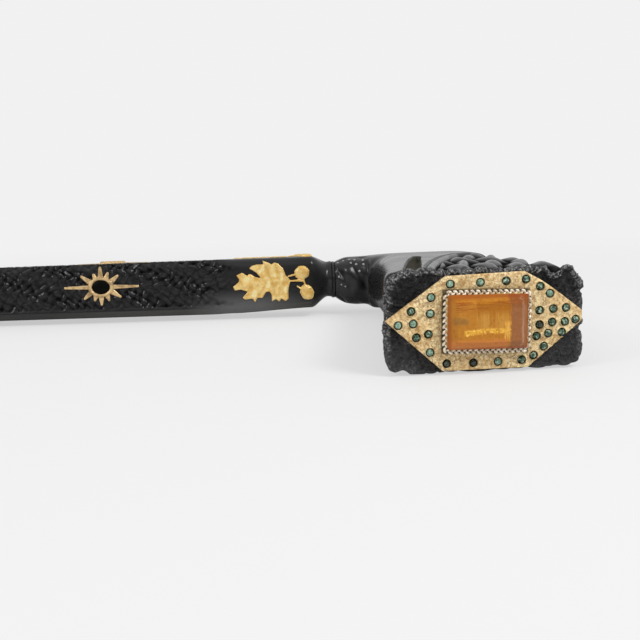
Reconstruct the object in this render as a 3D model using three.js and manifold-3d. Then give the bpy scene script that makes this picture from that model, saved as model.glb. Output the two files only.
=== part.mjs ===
// Carved walking stick with a jewelled end plate, lying on its side as on a table.
// Millimetres, +Z up. The shaft runs along X with its foot toward -X, and the grip reaches
// toward -Y. While it is built, the origin is where the shaft's axis meets the grip's axis.

import * as THREE from 'three';
import { mergeVertices } from 'three/addons/utils/BufferGeometryUtils.js';
import Module from 'manifold-3d';

const wasm = await Module();
wasm.setup();

// Clearances
const seatGap = 0.3; // between a piece and what it is let into or lies on
const settingGap = 0.15; // round each small stone in its hole
const cutOverrun = 2; // how far a cutter runs past the face that it cuts
const weldDistance = 0.0001; // corners closer than this are one corner

// Shaft
const footReach = 872; // from the grip's axis to the tip of the foot
const shaftWidth = 20; // across the flats, where the ornaments sit
const shaftChamfer = 2.4; // leg of the chamfer along each edge
const footWidth = 14; // across the flats at the ferrule
const shaftTurn = THREE.MathUtils.degToRad(5.4); // the flats lean back a little against the grip
const squareEnd = 30.6; // from the grip's axis to the shaft's square end
const neckRadius = 6.1;
const neckRise = 0.9; // how far the neck's axis lies above the shaft's
const axisHeight = 11.8; // of the shaft's axis above the table that the handle lies on
const neckHeight = axisHeight + neckRise;

// Joint between the shaft and the handle
const headLength = 22.5; // from the grip's axis to the head's face on the collar
const collarThickness = 1.5;
const collarRadius = 6.9;
const studRadius = 2.7;
const studInShaft = 34;
const studInHandle = 15;

// Handle
const gripReach = 114.8; // from the shaft's axis to the end face, along the grip
const gripRake = THREE.MathUtils.degToRad(5.1); // how far the grip leans away from the shaft
const faceWidth = 56;
const faceHeight = 28.6;
const faceShift = 0.8; // how far the end face's middle lies beyond the grip's axis
const faceEdge = 0.4; // eased edge round the end face
const elbowBottom = 1.9; // height of the elbow's underside above the table
const elbowTop = 24.5;
const elbowDepth = 26; // from the shaft's axis to where the elbow runs into the grip
const fluteLength = 56;
const flutePlace = 81; // from the shaft's axis to the flute's middle, along the grip
const fluteShift = 11.1; // from the grip's axis to the flute's middle, toward the shaft
const fluteWidth = 5.4;
const fluteDepth = 2;
const fluteTurn = THREE.MathUtils.degToRad(14.4); // toward the shaft on the way to the face

// End plate and its stones
const plateThickness = 1.2;
const plateInset = 0.7; // from the ends of the face to the plate, on average
const plateSetback = 0.9; // from the top and bottom of the face to the plate
const stoneHeight = 1.8;
const jewelLength = 21.6;
const jewelWidth = 14.6;
const jewelCut = 1; // leg of the cut corners
const jewelGirdle = 0.5;
const jewelCrown = 2;
const jewelBevel = 2.2; // width of the crown's slope
const colletHeight = 1.5;
const colletWall = 0.9;
const ropeDiameter = 1.4;
const ropeTurns = 24;
const ropeWaistShare = 0.5; // thickness between the two strands, as a share of the rope's own

// Ornaments on the shaft
const sunPlace = 108.8; // from the grip's axis to the sunburst's centre
const topShift = 3; // how much nearer the grip the sunburst on the top flat sits
const sunReach = 13.6; // from the centre to the tip of a long ray
const sunBodyLength = 10.4;
const sunBodyWidth = 7.6;
const sunThickness = 0.5;
const sunRimHeight = 1;
const sunRimWidth = 0.8;
const sunStoneLength = 6.4;
const sunStoneWidth = 4.6;
const sunStoneHeight = 0.9;
const sprigPlace = 49.5; // from the grip's axis to the middle of the oak leaf
const sprigWidth = 15; // across the leaf's lobes
const sprigThickness = 0.7;
const stemWidth = 0.95;
const acornHeight = 1.1;
const sunRise = 0.8; // how far the ornaments sit off the middle of their flat
const sprigRise = 0.2;

// Foot
const ferruleLength = 32;
const ferruleWall = 0.9;
const ferruleEndWall = 2;
const ferruleTaper = 0.7; // how much the radius shrinks over the ferrule's length
const tenonRadius = 5.6;
const tenonLength = 26;
const tipThickness = 4;
const tipSpigotRadius = 2.2;
const tipSpigotLength = 8;
const pinRadius = 0.9;
const pinPlace = 13; // from the ferrule's mouth to the pin

// Number of facets
const handleSides = 32;
const stepsPerRow = 2;
const roundSides = 24;
const stoneSides = 8;
const holeSides = 10;
const ropeSides = 8;
const ropeStepsPerTurn = 7;
const ovalSides = 16;
const coveSteps = 6;
const domeSteps = 4;

const blackWood = new THREE.MeshStandardMaterial({ color: 0x17161a, roughness: 0.28, metalness: 0 });
const gold = new THREE.MeshStandardMaterial({ color: 0xd9b065, roughness: 0.38, metalness: 1 });
const silverGilt = new THREE.MeshStandardMaterial({ color: 0xcdbb98, roughness: 0.3, metalness: 1 });
const amberGlass = new THREE.MeshStandardMaterial({ color: 0xc9571a, roughness: 0.06, metalness: 0 });
const greenGlass = new THREE.MeshStandardMaterial({ color: 0x2f6a5c, roughness: 0.1, metalness: 0 });
const blackGlass = new THREE.MeshStandardMaterial({ color: 0x08080a, roughness: 0.08, metalness: 0 });
const steel = new THREE.MeshStandardMaterial({ color: 0x8f9296, roughness: 0.35, metalness: 1 });
const brass = new THREE.MeshStandardMaterial({ color: 0xb8964f, roughness: 0.3, metalness: 1 });

const stick = new THREE.Group();

function addPiece(group, name, geometry, material) {
  const piece = new THREE.Mesh(geometry, material);
  piece.name = name;
  geometry.computeVertexNormals();
  group.add(piece);
  return piece;
}

// One closed skin: shared corners merged, and the flat triangles at a pole dropped
function closedSkin(geometry) {
  const bare = geometry.clone();
  bare.deleteAttribute('normal');
  bare.deleteAttribute('uv');
  const merged = mergeVertices(bare, weldDistance);
  const corners = Array.from(merged.index.array);
  const kept = [];
  for (let i = 0; i < corners.length; i += 3) {
    const [a, b, c] = corners.slice(i, i + 3);
    if (a !== b && b !== c && c !== a) kept.push(a, b, c);
  }
  merged.setIndex(kept);
  return merged;
}

function toSolid(geometry) {
  const skin = closedSkin(geometry);
  const mesh = new wasm.Mesh({
    numProp: 3,
    vertProperties: new Float32Array(skin.attributes.position.array),
    triVerts: new Uint32Array(skin.index.array),
  });
  return new wasm.Manifold(mesh);
}

function toGeometry(solid) {
  const mesh = solid.getMesh();
  const geometry = new THREE.BufferGeometry();
  geometry.setAttribute('position', new THREE.BufferAttribute(mesh.vertProperties, 3));
  geometry.setIndex(Array.from(mesh.triVerts));
  return geometry;
}

// A skin through rings of corners, capped at both ends or joined end to end
function loft(rings, joined = false) {
  const count = rings[0].length;
  const places = rings.flat().flatMap((corner) => [corner.x, corner.y, corner.z]);
  const faces = [];
  const spans = joined ? rings.length : rings.length - 1;
  for (let row = 0; row < spans; row += 1) {
    const next = (row + 1) % rings.length;
    for (let i = 0; i < count; i += 1) {
      const j = (i + 1) % count;
      const [a, b, c, d] = [row * count + i, row * count + j, next * count + j, next * count + i];
      faces.push(a, b, c, a, c, d);
    }
  }
  if (!joined) {
    const last = (rings.length - 1) * count;
    for (let i = 1; i < count - 1; i += 1) faces.push(0, i + 1, i, last, last + i, last + i + 1);
  }
  const geometry = new THREE.BufferGeometry();
  geometry.setAttribute('position', new THREE.Float32BufferAttribute(places, 3));
  geometry.setIndex(faces);
  if (volumeOf(geometry) < 0) geometry.setIndex(faces.toReversed());
  return geometry;
}

function volumeOf(geometry) {
  const place = geometry.attributes.position;
  const corner = (i) => new THREE.Vector3().fromBufferAttribute(place, geometry.index.array[i]);
  let sum = 0;
  for (let i = 0; i < geometry.index.count; i += 3) {
    sum += corner(i).dot(corner(i + 1).cross(corner(i + 2))) / 6;
  }
  return sum;
}

// A turned form: rows of [place along X, radius], on an axis parallel to X
function turned(rows, sides = roundSides) {
  const outline = rows.map(([place, radius]) => new THREE.Vector2(radius, place));
  return new THREE.LatheGeometry(outline, sides).rotateZ(-Math.PI / 2);
}

function rod(radius, start, end, sides = roundSides) {
  return turned([[start, 0], [start, radius], [end, radius], [end, 0]], sides);
}

// Shaft: a chamfered square with a straight underside, scooped to a round neck at the handle
// and turned down to a tenon at the foot

const ferruleMouth = footReach - tipThickness - ferruleLength;
const neckEnd = headLength + collarThickness;

function shaftRing(place, width) {
  const chamfer = (shaftChamfer * width) / shaftWidth;
  const half = width / 2;
  const flat = half - chamfer;
  const drop = (shaftWidth - width) / 2;
  const corners = [
    [half, -flat], [half, flat], [flat, half], [-flat, half],
    [-half, flat], [-half, -flat], [-flat, -half], [flat, -half],
  ];
  return corners.map(([y, z]) => new THREE.Vector3(-place, y, z - drop));
}

// The cove's radius falls along a quarter of an ellipse from the square end to the neck
function neckRows() {
  const rows = [[-squareEnd - cutOverrun, 0]];
  const coveLength = squareEnd - neckEnd;
  const coveDepth = shaftWidth / 2 - neckRise - neckRadius;
  rows.push([-squareEnd - cutOverrun, shaftWidth / 2 - shaftChamfer]);
  for (let i = 0; i <= coveSteps; i += 1) {
    const turn = (i / coveSteps) * (Math.PI / 2);
    const radius = neckRadius + coveDepth * (1 - Math.sin(turn));
    rows.push([-neckEnd - coveLength * Math.cos(turn), radius]);
  }
  rows.push([-neckEnd, 0]);
  return rows;
}

const footDrop = (shaftWidth - footWidth) / 2;
const squareLength = [[squareEnd, shaftWidth], [ferruleMouth, footWidth]];
const squareStick = loft(squareLength.map(([place, width]) => shaftRing(place, width)));
const tenonEnd = -ferruleMouth - tenonLength;
const tenon = rod(tenonRadius, tenonEnd, -ferruleMouth + cutOverrun).translate(0, 0, -footDrop);
const footGroup = new THREE.Group();
footGroup.position.z = axisHeight;
footGroup.rotation.x = -shaftTurn;
footGroup.updateMatrix();

const pinAxis = -ferruleMouth - pinPlace;
function pinRod(radius, reach) {
  const cylinder = new THREE.CylinderGeometry(radius, radius, 2 * reach, holeSides);
  return cylinder.translate(pinAxis, 0, -footDrop);
}

function cutForPin(solid) {
  return solid.subtract(toSolid(pinRod(pinRadius + seatGap, footWidth)));
}

function boreFrom(start, end) {
  return toSolid(rod(studRadius + seatGap, start, end).translate(0, 0, neckHeight));
}

const spigotBore = rod(
  tipSpigotRadius + seatGap,
  tenonEnd - cutOverrun,
  -footReach + tipThickness + tipSpigotLength + seatGap,
).translate(0, 0, -footDrop);
const stickWood = cutForPin(toSolid(squareStick).add(toSolid(tenon))).subtract(toSolid(spigotBore));
const stickGeometry = toGeometry(stickWood).applyMatrix4(footGroup.matrix);
const neckWood = toSolid(turned(neckRows()).translate(0, 0, neckHeight));
const shaftWood = toSolid(stickGeometry)
  .add(neckWood)
  .subtract(boreFrom(-neckEnd - studInShaft - seatGap, -neckEnd + cutOverrun));
addPiece(stick, 'shaft', toGeometry(shaftWood), blackWood);

// Collar and stud of the joint
const collarBore = studRadius + seatGap;
const collarRows = [
  [-neckEnd, collarBore],
  [-neckEnd, collarRadius - collarThickness / 4],
  [-neckEnd + collarThickness / 4, collarRadius],
  [-headLength - collarThickness / 4, collarRadius],
  [-headLength, collarRadius - collarThickness / 4],
  [-headLength, collarBore],
  [-neckEnd, collarBore],
];
addPiece(stick, 'joint_collar', closedSkin(turned(collarRows)), blackWood).position.z = neckHeight;
const stud = rod(studRadius, -neckEnd - studInShaft, -headLength + studInHandle);
addPiece(stick, 'joint_stud', closedSkin(stud), steel).position.z = neckHeight;

// Handle: one block, drawn as sections from the head on the collar, round the elbow and along
// the grip. Each row gives an inner point, on the side of the shaft, and an outer point.

function gripPoint(across, along, height) {
  const sine = Math.sin(gripRake);
  const cosine = Math.cos(gripRake);
  return new THREE.Vector3(across * cosine + along * sine, across * sine - along * cosine, height);
}

function headRow([placeShare, halfShare, riseShare, squareness]) {
  const half = (halfShare * shaftWidth) / 2;
  const middle = axisHeight + riseShare * neckRise;
  const place = -headLength * placeShare;
  return {
    inner: new THREE.Vector3(place, -half, middle - half),
    outer: new THREE.Vector3(place, half, middle + half),
    squareness,
  };
}

function elbowRow([innerAcross, innerAlong, outerAcross, outerAlong, topShare, squareness]) {
  const rise = (1 - topShare) * (elbowTop - axisHeight - shaftWidth / 2);
  return {
    inner: gripPoint(innerAcross * shaftWidth, innerAlong * shaftWidth, elbowBottom),
    outer: gripPoint(outerAcross * shaftWidth, outerAlong * shaftWidth, elbowTop - rise),
    squareness,
  };
}

function gripRow([alongShare, innerShare, outerShare, growShare, squareness], ease = 0) {
  const halfWidth = faceWidth / 2;
  const along = elbowDepth + alongShare * (gripReach - faceEdge - elbowDepth);
  const bottom = elbowBottom * (1 - growShare);
  const top = elbowTop + growShare * (faceHeight - elbowTop);
  const shift = faceShift * growShare;
  return {
    inner: gripPoint(shift - innerShare * halfWidth + ease, along + ease, bottom + ease),
    outer: gripPoint(shift + outerShare * halfWidth - ease, along + ease, top - ease),
    squareness,
  };
}

// place, half size, share of the neck's rise, squareness
const headShares = [
  [1, 0.67, 1, 2.2],
  [0.92, 0.77, 0.8, 2.5],
  [0.82, 0.86, 0.6, 2.8],
  [0.67, 0.895, 0.4, 3],
  [0.48, 0.91, 0.4, 3],
];
// inner across and along, outer across and along, height of the top, squareness
const elbowShares = [
  [-0.61, 0.51, 0.15, -0.49, 0, 2.9],
  [-0.58, 0.56, 0.72, -0.36, 0.12, 2.9],
  [-0.565, 0.65, 1.13, 0.04, 0.25, 3.1],
  [-0.56, 0.85, 1.3, 0.6, 0.55, 3.6],
];
// along, inner half width, outer half width, growth toward the end face, squareness
const gripShares = [
  [0, 0.415, 0.96, 0.02, 4.4],
  [0.16, 0.47, 0.965, 0.17, 5.2],
  [0.36, 0.59, 0.97, 0.38, 6],
  [0.61, 0.74, 0.98, 0.63, 7],
  [0.83, 0.89, 0.99, 0.84, 8],
  [1, 1, 1, 1, 9],
];
const faceShares = gripShares.at(-1);

function roundedPower(value, power) {
  return Math.sign(value) * Math.abs(value) ** power;
}

function handleRing(inner, outer, squareness) {
  const middle = inner.clone().add(outer).divideScalar(2);
  const half = outer.clone().sub(inner).divideScalar(2);
  const ring = [];
  for (let i = 0; i < handleSides; i += 1) {
    const angle = (i / handleSides) * 2 * Math.PI;
    const across = roundedPower(Math.cos(angle), 2 / squareness);
    const up = roundedPower(Math.sin(angle), 2 / squareness);
    const reach = new THREE.Vector3(half.x * across, half.y * across, half.z * up);
    ring.push(middle.clone().add(reach));
  }
  return ring;
}

function handleBlock() {
  const rows = [
    ...headShares.map(headRow),
    ...elbowShares.map(elbowRow),
    ...gripShares.map((shares) => gripRow(shares)),
  ];
  const innerRail = new THREE.CatmullRomCurve3(rows.map((row) => row.inner));
  const outerRail = new THREE.CatmullRomCurve3(rows.map((row) => row.outer));
  const steps = (rows.length - 1) * stepsPerRow;
  const rings = [];
  for (let i = 0; i <= steps; i += 1) {
    const row = Math.min(Math.floor(i / stepsPerRow), rows.length - 2);
    const between = i / stepsPerRow - row;
    const squareness = THREE.MathUtils.lerp(rows[row].squareness, rows[row + 1].squareness, between);
    rings.push(handleRing(innerRail.getPoint(i / steps), outerRail.getPoint(i / steps), squareness));
  }
  const eased = gripRow(faceShares, faceEdge);
  rings.push(handleRing(eased.inner, eased.outer, eased.squareness));
  return toSolid(loft(rings));
}

// The flute is a long scoop in the polished top, which climbs toward the end face
function fluteCutter() {
  const scoop = new THREE.SphereGeometry(1, roundSides, handleSides / 2);
  const climb = (faceHeight - elbowTop) / (gripReach - elbowDepth);
  scoop.scale(fluteWidth / 2, fluteLength / 2, fluteDepth);
  scoop.rotateX(-Math.atan(climb)).rotateZ(gripRake - fluteTurn);
  const centre = gripPoint(-fluteShift, flutePlace, elbowTop + climb * (flutePlace - elbowDepth));
  return toSolid(scoop.translate(centre.x, centre.y, centre.z));
}

const handleWood = handleBlock()
  .subtract(boreFrom(-headLength - cutOverrun, -headLength + studInHandle + seatGap))
  .subtract(fluteCutter());
addPiece(stick, 'handle', toGeometry(handleWood), blackWood);

// End plate and stones, in a group at the middle of the end face with -Y pointing out of it.
// Depths are measured out from the wood.
const endGroup = new THREE.Group();
endGroup.position.copy(gripPoint(0, gripReach, faceHeight / 2));
endGroup.rotation.z = gripRake;
stick.add(endGroup);

// Half sizes along the face and up it: the plate, the rope border, and the band between them
const plateHalf = [faceWidth / 2 - plateInset, faceHeight / 2 - plateSetback];
const ropeHalf = [jewelLength, jewelWidth].map((size) => size / 2 + seatGap + ropeDiameter);
const bands = plateHalf.map((half, i) => half - ropeHalf[i]);
const stoneBandShares = [0.142, 0.477]; // the stones' diameter, as shares of the bands
const stoneDiameter = Math.min(...bands.map((band, i) => band * stoneBandShares[i]));

const plateBack = seatGap;
const plateFront = plateBack + plateThickness;
const colletBack = plateFront + seatGap;
const girdleBack = colletBack + colletHeight + seatGap;

// A flat piece drawn in the plane of the end face, from one depth to another
function facePiece(shape, back, front, curveSides = holeSides) {
  const settings = { depth: front - back, bevelEnabled: false, curveSegments: curveSides / 2 };
  return new THREE.ExtrudeGeometry(shape, settings).rotateX(Math.PI / 2).translate(0, -back, 0);
}

// Corners of the plate and places of the small stones, as shares of the plate's half sizes
const plateShares = [
  [-0.42, -0.99], [0.445, -1], [1, -0.085], [1, 0.115], [0.72, 0.56], [0.58, 0.76], [0.41, 0.95],
  [-0.385, 0.91], [-0.985, 0.06],
];
const stoneShares = [
  [-0.34, 0.75], [-0.04, 0.76], [0.22, 0.77], [0.42, 0.79], [0.565, 0.635],
  [0.665, 0.485], [-0.53, 0.5], [-0.73, 0.24], [-0.54, 0.18], [-0.86, -0.03],
  [-0.71, -0.01], [-0.68, -0.29], [-0.56, -0.23], [-0.545, -0.6], [-0.38, -0.84],
  [-0.11, -0.85], [0.14, -0.85], [0.38, -0.84], [0.56, 0.15], [0.7, 0.17],
  [0.83, 0.18], [0.56, -0.14], [0.69, -0.1], [0.82, -0.1], [0.93, -0.065],
  [0.53, -0.37], [0.65, -0.325], [0.79, -0.315], [0.605, -0.585], [0.5, -0.76],
];

// A share that reaches past the rope border is counted on across the band outside it, so the
// stones there stay clear of the border and of the plate's edge
const ropeShares = [0.458, 0.672];
function plateSpot(shares) {
  const places = shares.map((share, i) => {
    const past = (Math.abs(share) - ropeShares[i]) / (1 - ropeShares[i]);
    if (past < 0) return (share / ropeShares[i]) * ropeHalf[i];
    return Math.sign(share) * (ropeHalf[i] + past * bands[i]);
  });
  return new THREE.Vector2(...places);
}

function plateShape() {
  const shape = new THREE.Shape(plateShares.map(plateSpot));
  for (const shares of stoneShares) {
    const hole = new THREE.Path();
    const { x, y } = plateSpot(shares);
    hole.absarc(x, y, stoneDiameter / 2 + settingGap, 0, 2 * Math.PI, true);
    shape.holes.push(hole);
  }
  return shape;
}
addPiece(endGroup, 'end_plaque', closedSkin(facePiece(plateShape(), plateBack, plateFront)), gold);

// A rectangle with cut corners, as corners in the plane of the end face
function cutCorners(length, width, cut) {
  const [across, up] = [length / 2, width / 2];
  return [
    [across, -up + cut], [across, up - cut], [across - cut, up], [-across + cut, up],
    [-across, up - cut], [-across, -up + cut], [-across + cut, -up], [across - cut, -up],
  ].map(([x, z]) => new THREE.Vector2(x, z));
}

const colletShape = new THREE.Shape(cutCorners(jewelLength, jewelWidth, jewelCut));
const colletInside = [jewelLength - 2 * colletWall, jewelWidth - 2 * colletWall];
colletShape.holes.push(new THREE.Path(cutCorners(...colletInside, jewelCut).reverse()));
const collet = facePiece(colletShape, colletBack, colletBack + colletHeight);
addPiece(endGroup, 'stone_collet', closedSkin(collet), gold);

// The large stone is step cut: a keel in the collet, a girdle, two steps of crown and a table
const keelShares = [0.33, 0.12]; // length and width of the keel, as shares of the stone's
const stepShares = [0.55, 0.6]; // how far in and how far up the crown's middle edge lies
function jewelRings() {
  const keel = [keelShares[0] * jewelLength, keelShares[1] * jewelWidth];
  const pavilion = colletInside.map((size) => size - 2 * seatGap);
  const crownTop = girdleBack + jewelGirdle + jewelCrown;
  const stepIn = 2 * stepShares[0] * jewelBevel;
  const levels = [
    [plateFront + seatGap, ...keel],
    [girdleBack - seatGap / 2, ...pavilion],
    [girdleBack, jewelLength, jewelWidth],
    [girdleBack + jewelGirdle, jewelLength, jewelWidth],
    [crownTop - (1 - stepShares[1]) * jewelCrown, jewelLength - stepIn, jewelWidth - stepIn],
    [crownTop, jewelLength - 2 * jewelBevel, jewelWidth - 2 * jewelBevel],
  ];
  return levels.map(([depth, length, width]) => {
    const cut = (jewelCut * width) / jewelWidth;
    return cutCorners(length, width, cut).map(({ x, y }) => new THREE.Vector3(x, -depth, y));
  });
}
addPiece(endGroup, 'citrine', loft(jewelRings()), amberGlass);

// Twisted wire round the collet: a two-lobed section that turns as it runs round a rectangle
// with round corners, and closes on itself after a whole number of turns
function ropeBorder() {
  const radius = ropeDiameter / 2;
  const across = jewelLength / 2 + seatGap + radius;
  const up = jewelWidth / 2 + seatGap + radius;
  const bend = 2 * radius;
  const path = new THREE.Shape();
  path.absarc(across - bend, up - bend, bend, 0, Math.PI / 2);
  path.absarc(-across + bend, up - bend, bend, Math.PI / 2, Math.PI);
  path.absarc(-across + bend, -up + bend, bend, Math.PI, 1.5 * Math.PI);
  path.absarc(across - bend, -up + bend, bend, 1.5 * Math.PI, 2 * Math.PI);
  path.closePath();
  const steps = ropeTurns * ropeStepsPerTurn;
  const depth = plateFront + seatGap + radius;
  const rings = [];
  for (let step = 0; step < steps; step += 1) {
    const share = step / steps;
    const centre = path.getPointAt(share);
    const tangent = path.getTangentAt(share);
    const twist = share * ropeTurns * 2 * Math.PI;
    const ring = [];
    for (let i = 0; i < ropeSides; i += 1) {
      const angle = (i / ropeSides) * 2 * Math.PI;
      const lobe = radius * THREE.MathUtils.lerp(ropeWaistShare, 1, Math.abs(Math.cos(angle)));
      const out = lobe * Math.cos(angle + twist);
      const lift = lobe * Math.sin(angle + twist);
      const x = centre.x + tangent.y * out;
      const z = centre.y - tangent.x * out;
      ring.push(new THREE.Vector3(x, -depth - lift, z));
    }
    rings.push(ring);
  }
  return loft(rings, true);
}
addPiece(endGroup, 'rope_border', ropeBorder(), silverGilt);

// Small stones: eight-sided brilliants, each in its own hole with its table out
const brilliantShares = [[0, 0], [0.33, 0], [1, 0.45], [1, 0.6], [0.58, 1], [0, 1]];
function smallStone() {
  const outline = brilliantShares.map(
    ([across, up]) => new THREE.Vector2((across * stoneDiameter) / 2, up * stoneHeight),
  );
  return closedSkin(new THREE.LatheGeometry(outline, stoneSides).rotateX(Math.PI));
}

stoneShares.forEach((shares, i) => {
  const name = `green_stone_${String(i + 1).padStart(2, '0')}`;
  const stone = addPiece(endGroup, name, smallStone(), greenGlass);
  const { x, y } = plateSpot(shares);
  stone.position.set(x, -seatGap, y);
});

// Ornaments, drawn in a plane with X along the shaft toward the handle and Y across the flat,
// and raised along Z from the wood

function ovalPath(PathType, length, width, clockwise = false) {
  const path = new PathType();
  path.absellipse(0, 0, length / 2, width / 2, 0, 2 * Math.PI, clockwise, 0);
  return path;
}

// Length of each ray as a share of the long one, from the one toward the handle round the sun
const rayShares = [1, 0.54, 0.42, 0.53, 0.39, 0.6, 0.97, 0.54, 0.39, 0.47, 0.41, 0.58];
const rayTurns = [0, 33, 63, 91, 119, 150, 180, 214, 243, 270, 300, 332];

function sunburst() {
  const corners = [];
  rayShares.forEach((share, i) => {
    const next = (i + 1) % rayTurns.length;
    const gapTurn = next ? (rayTurns[i] + rayTurns[next]) / 2 : (rayTurns[i] + 360) / 2;
    const tip = THREE.MathUtils.degToRad(rayTurns[i]);
    const valley = THREE.MathUtils.degToRad(gapTurn);
    const reach = share * sunReach;
    corners.push(new THREE.Vector2(reach * Math.cos(tip), reach * Math.sin(tip)));
    const low = [(sunBodyLength / 2) * Math.cos(valley), (sunBodyWidth / 2) * Math.sin(valley)];
    corners.push(new THREE.Vector2(...low));
  });
  const holeSize = [sunStoneLength + 2 * seatGap, sunStoneWidth + 2 * seatGap];
  const plate = new THREE.Shape(corners);
  plate.holes.push(ovalPath(THREE.Path, ...holeSize, true));
  const rim = ovalPath(THREE.Shape, holeSize[0] + 2 * sunRimWidth, holeSize[1] + 2 * sunRimWidth);
  rim.holes.push(ovalPath(THREE.Path, ...holeSize, true));
  const settings = { bevelEnabled: false, curveSegments: ovalSides / 2 };
  const flat = new THREE.ExtrudeGeometry(plate, { ...settings, depth: sunThickness });
  const raised = new THREE.ExtrudeGeometry(rim, { ...settings, depth: sunRimHeight });
  return toGeometry(toSolid(flat).add(toSolid(raised)));
}

// A domed stone with a flat back, scaled from a round dome to an oval
function domedStone() {
  const rows = [new THREE.Vector2(0, 0), new THREE.Vector2(1, 0)];
  for (let i = 1; i <= domeSteps; i += 1) {
    const turn = (i / domeSteps) * (Math.PI / 2);
    rows.push(new THREE.Vector2(Math.cos(turn), Math.sin(turn)));
  }
  rows.at(-1).x = 0;
  const dome = new THREE.LatheGeometry(rows, ovalSides).rotateX(Math.PI / 2);
  dome.scale(sunStoneLength / 2, sunStoneWidth / 2, sunStoneHeight);
  return closedSkin(dome);
}

// The leaf's outline as shares of the sprig's width, from the stalk round the upper lobes to
// the far tips and back along the lower lobes
const leafShares = [
  [0.65, 0.09], [0.56, 0.19], [0.5, 0.36], [0.38, 0.49], [0.29, 0.52], [0.21, 0.47],
  [0.13, 0.52], [0, 0.57], [0.02, 0.48], [-0.15, 0.48], [-0.27, 0.45], [-0.33, 0.39],
  [-0.17, 0.29], [-0.04, 0.14], [-0.2, 0.18], [-0.33, 0.26], [-0.38, 0.21], [-0.52, 0.29],
  [-0.65, 0.23], [-0.58, 0.12], [-0.6, 0.06], [-0.74, -0.05], [-0.7, -0.14], [-0.55, -0.12],
  [-0.38, -0.18], [-0.51, -0.32], [-0.46, -0.37], [-0.27, -0.35], [-0.21, -0.44],
  [-0.15, -0.33], [-0.03, -0.34], [0.06, -0.2], [0.15, -0.19], [0.2, -0.27], [0.2, -0.43],
  [0.3, -0.38], [0.38, -0.44], [0.43, -0.37], [0.54, -0.43], [0.61, -0.38], [0.61, -0.18],
  [0.65, 0.01],
];
const stalkShares = [0.6, 0.06]; // where the stalk leaves the leaf
const forkShares = [1, 0.06];
const acornTopShare = 0.55; // width of an acorn's top face, as a share of the acorn's own
// Each acorn: centre, half length, half width, turn in degrees, and the tip of its point
const acornShares = [
  [0.955, 0.25, 0.2, 0.18, 14, 0.61, 0.17],
  [1.07, -0.23, 0.21, 0.175, -62, 0.82, -0.07],
];

function strip(start, end, width, thickness) {
  const run = end.clone().sub(start);
  const side = new THREE.Vector2(-run.y, run.x).normalize().multiplyScalar(width / 2);
  const tip = side.clone().divideScalar(2);
  const corners = [start.clone().sub(tip), end.clone().sub(side), end.clone().add(side)];
  corners.push(start.clone().add(tip));
  const settings = { depth: thickness, bevelEnabled: false };
  return new THREE.ExtrudeGeometry(new THREE.Shape(corners), settings);
}

function oakSprig() {
  const spot = (across, up) => new THREE.Vector2(across * sprigWidth, up * sprigWidth);
  const leaf = new THREE.Shape(leafShares.map(([across, up]) => spot(across, up)));
  const settings = { depth: sprigThickness, bevelEnabled: false };
  let casting = toSolid(new THREE.ExtrudeGeometry(leaf, settings));
  const fork = spot(...forkShares);
  const stalk = strip(spot(...stalkShares), fork, stemWidth, sprigThickness);
  casting = casting.add(toSolid(stalk));
  for (const [across, up, halfLength, halfWidth, turn, tipAcross, tipUp] of acornShares) {
    const centre = spot(across, up);
    const nut = new THREE.CylinderGeometry(acornTopShare, 1, 1, ovalSides).rotateX(Math.PI / 2);
    nut.translate(0, 0, 1 / 2);
    nut.scale(halfLength * sprigWidth, halfWidth * sprigWidth, acornHeight);
    nut.rotateZ(THREE.MathUtils.degToRad(turn)).translate(centre.x, centre.y, 0);
    casting = casting.add(toSolid(nut));
    casting = casting.add(toSolid(strip(spot(tipAcross, tipUp), centre, stemWidth, sprigThickness)));
    casting = casting.add(toSolid(strip(fork, centre, stemWidth, sprigThickness)));
  }
  return toGeometry(casting);
}

// Three flats of the shaft, each a quarter turn on from the one that faces the grip's side. The
// flat underneath is bare.
const ornamentGroup = new THREE.Group();
ornamentGroup.position.z = axisHeight;
ornamentGroup.rotation.x = -shaftTurn;
stick.add(ornamentGroup);

// The shaft's underside runs straight, its sides lean in by half the taper and its top by all
const taper = (shaftWidth - footWidth) / (ferruleMouth - squareEnd);
const leanShares = { front: 0.5, top: 1, back: 0.5 };

// Lays an ornament on a flat of the shaft, along the wood's slope there
function layOn(flat, side, piece, place, rise) {
  const lean = leanShares[side] * taper;
  const height = shaftWidth / 2 - lean * (place - squareEnd) + seatGap;
  piece.position.set(-place, rise, height);
  piece.rotation.y = -Math.atan(lean);
}

Object.keys(leanShares).forEach((side, quarter) => {
  const flat = new THREE.Group();
  flat.rotation.x = Math.PI / 2 - (quarter * Math.PI) / 2;
  ornamentGroup.add(flat);
  const place = side === 'top' ? sunPlace - topShift : sunPlace;
  layOn(flat, side, addPiece(flat, `sunburst_${side}`, sunburst(), gold), place, sunRise);
  layOn(flat, side, addPiece(flat, `sun_stone_${side}`, domedStone(), blackGlass), place, sunRise);
  layOn(flat, side, addPiece(flat, `oak_sprig_${side}`, oakSprig(), gold), sprigPlace, sprigRise);
});

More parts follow.
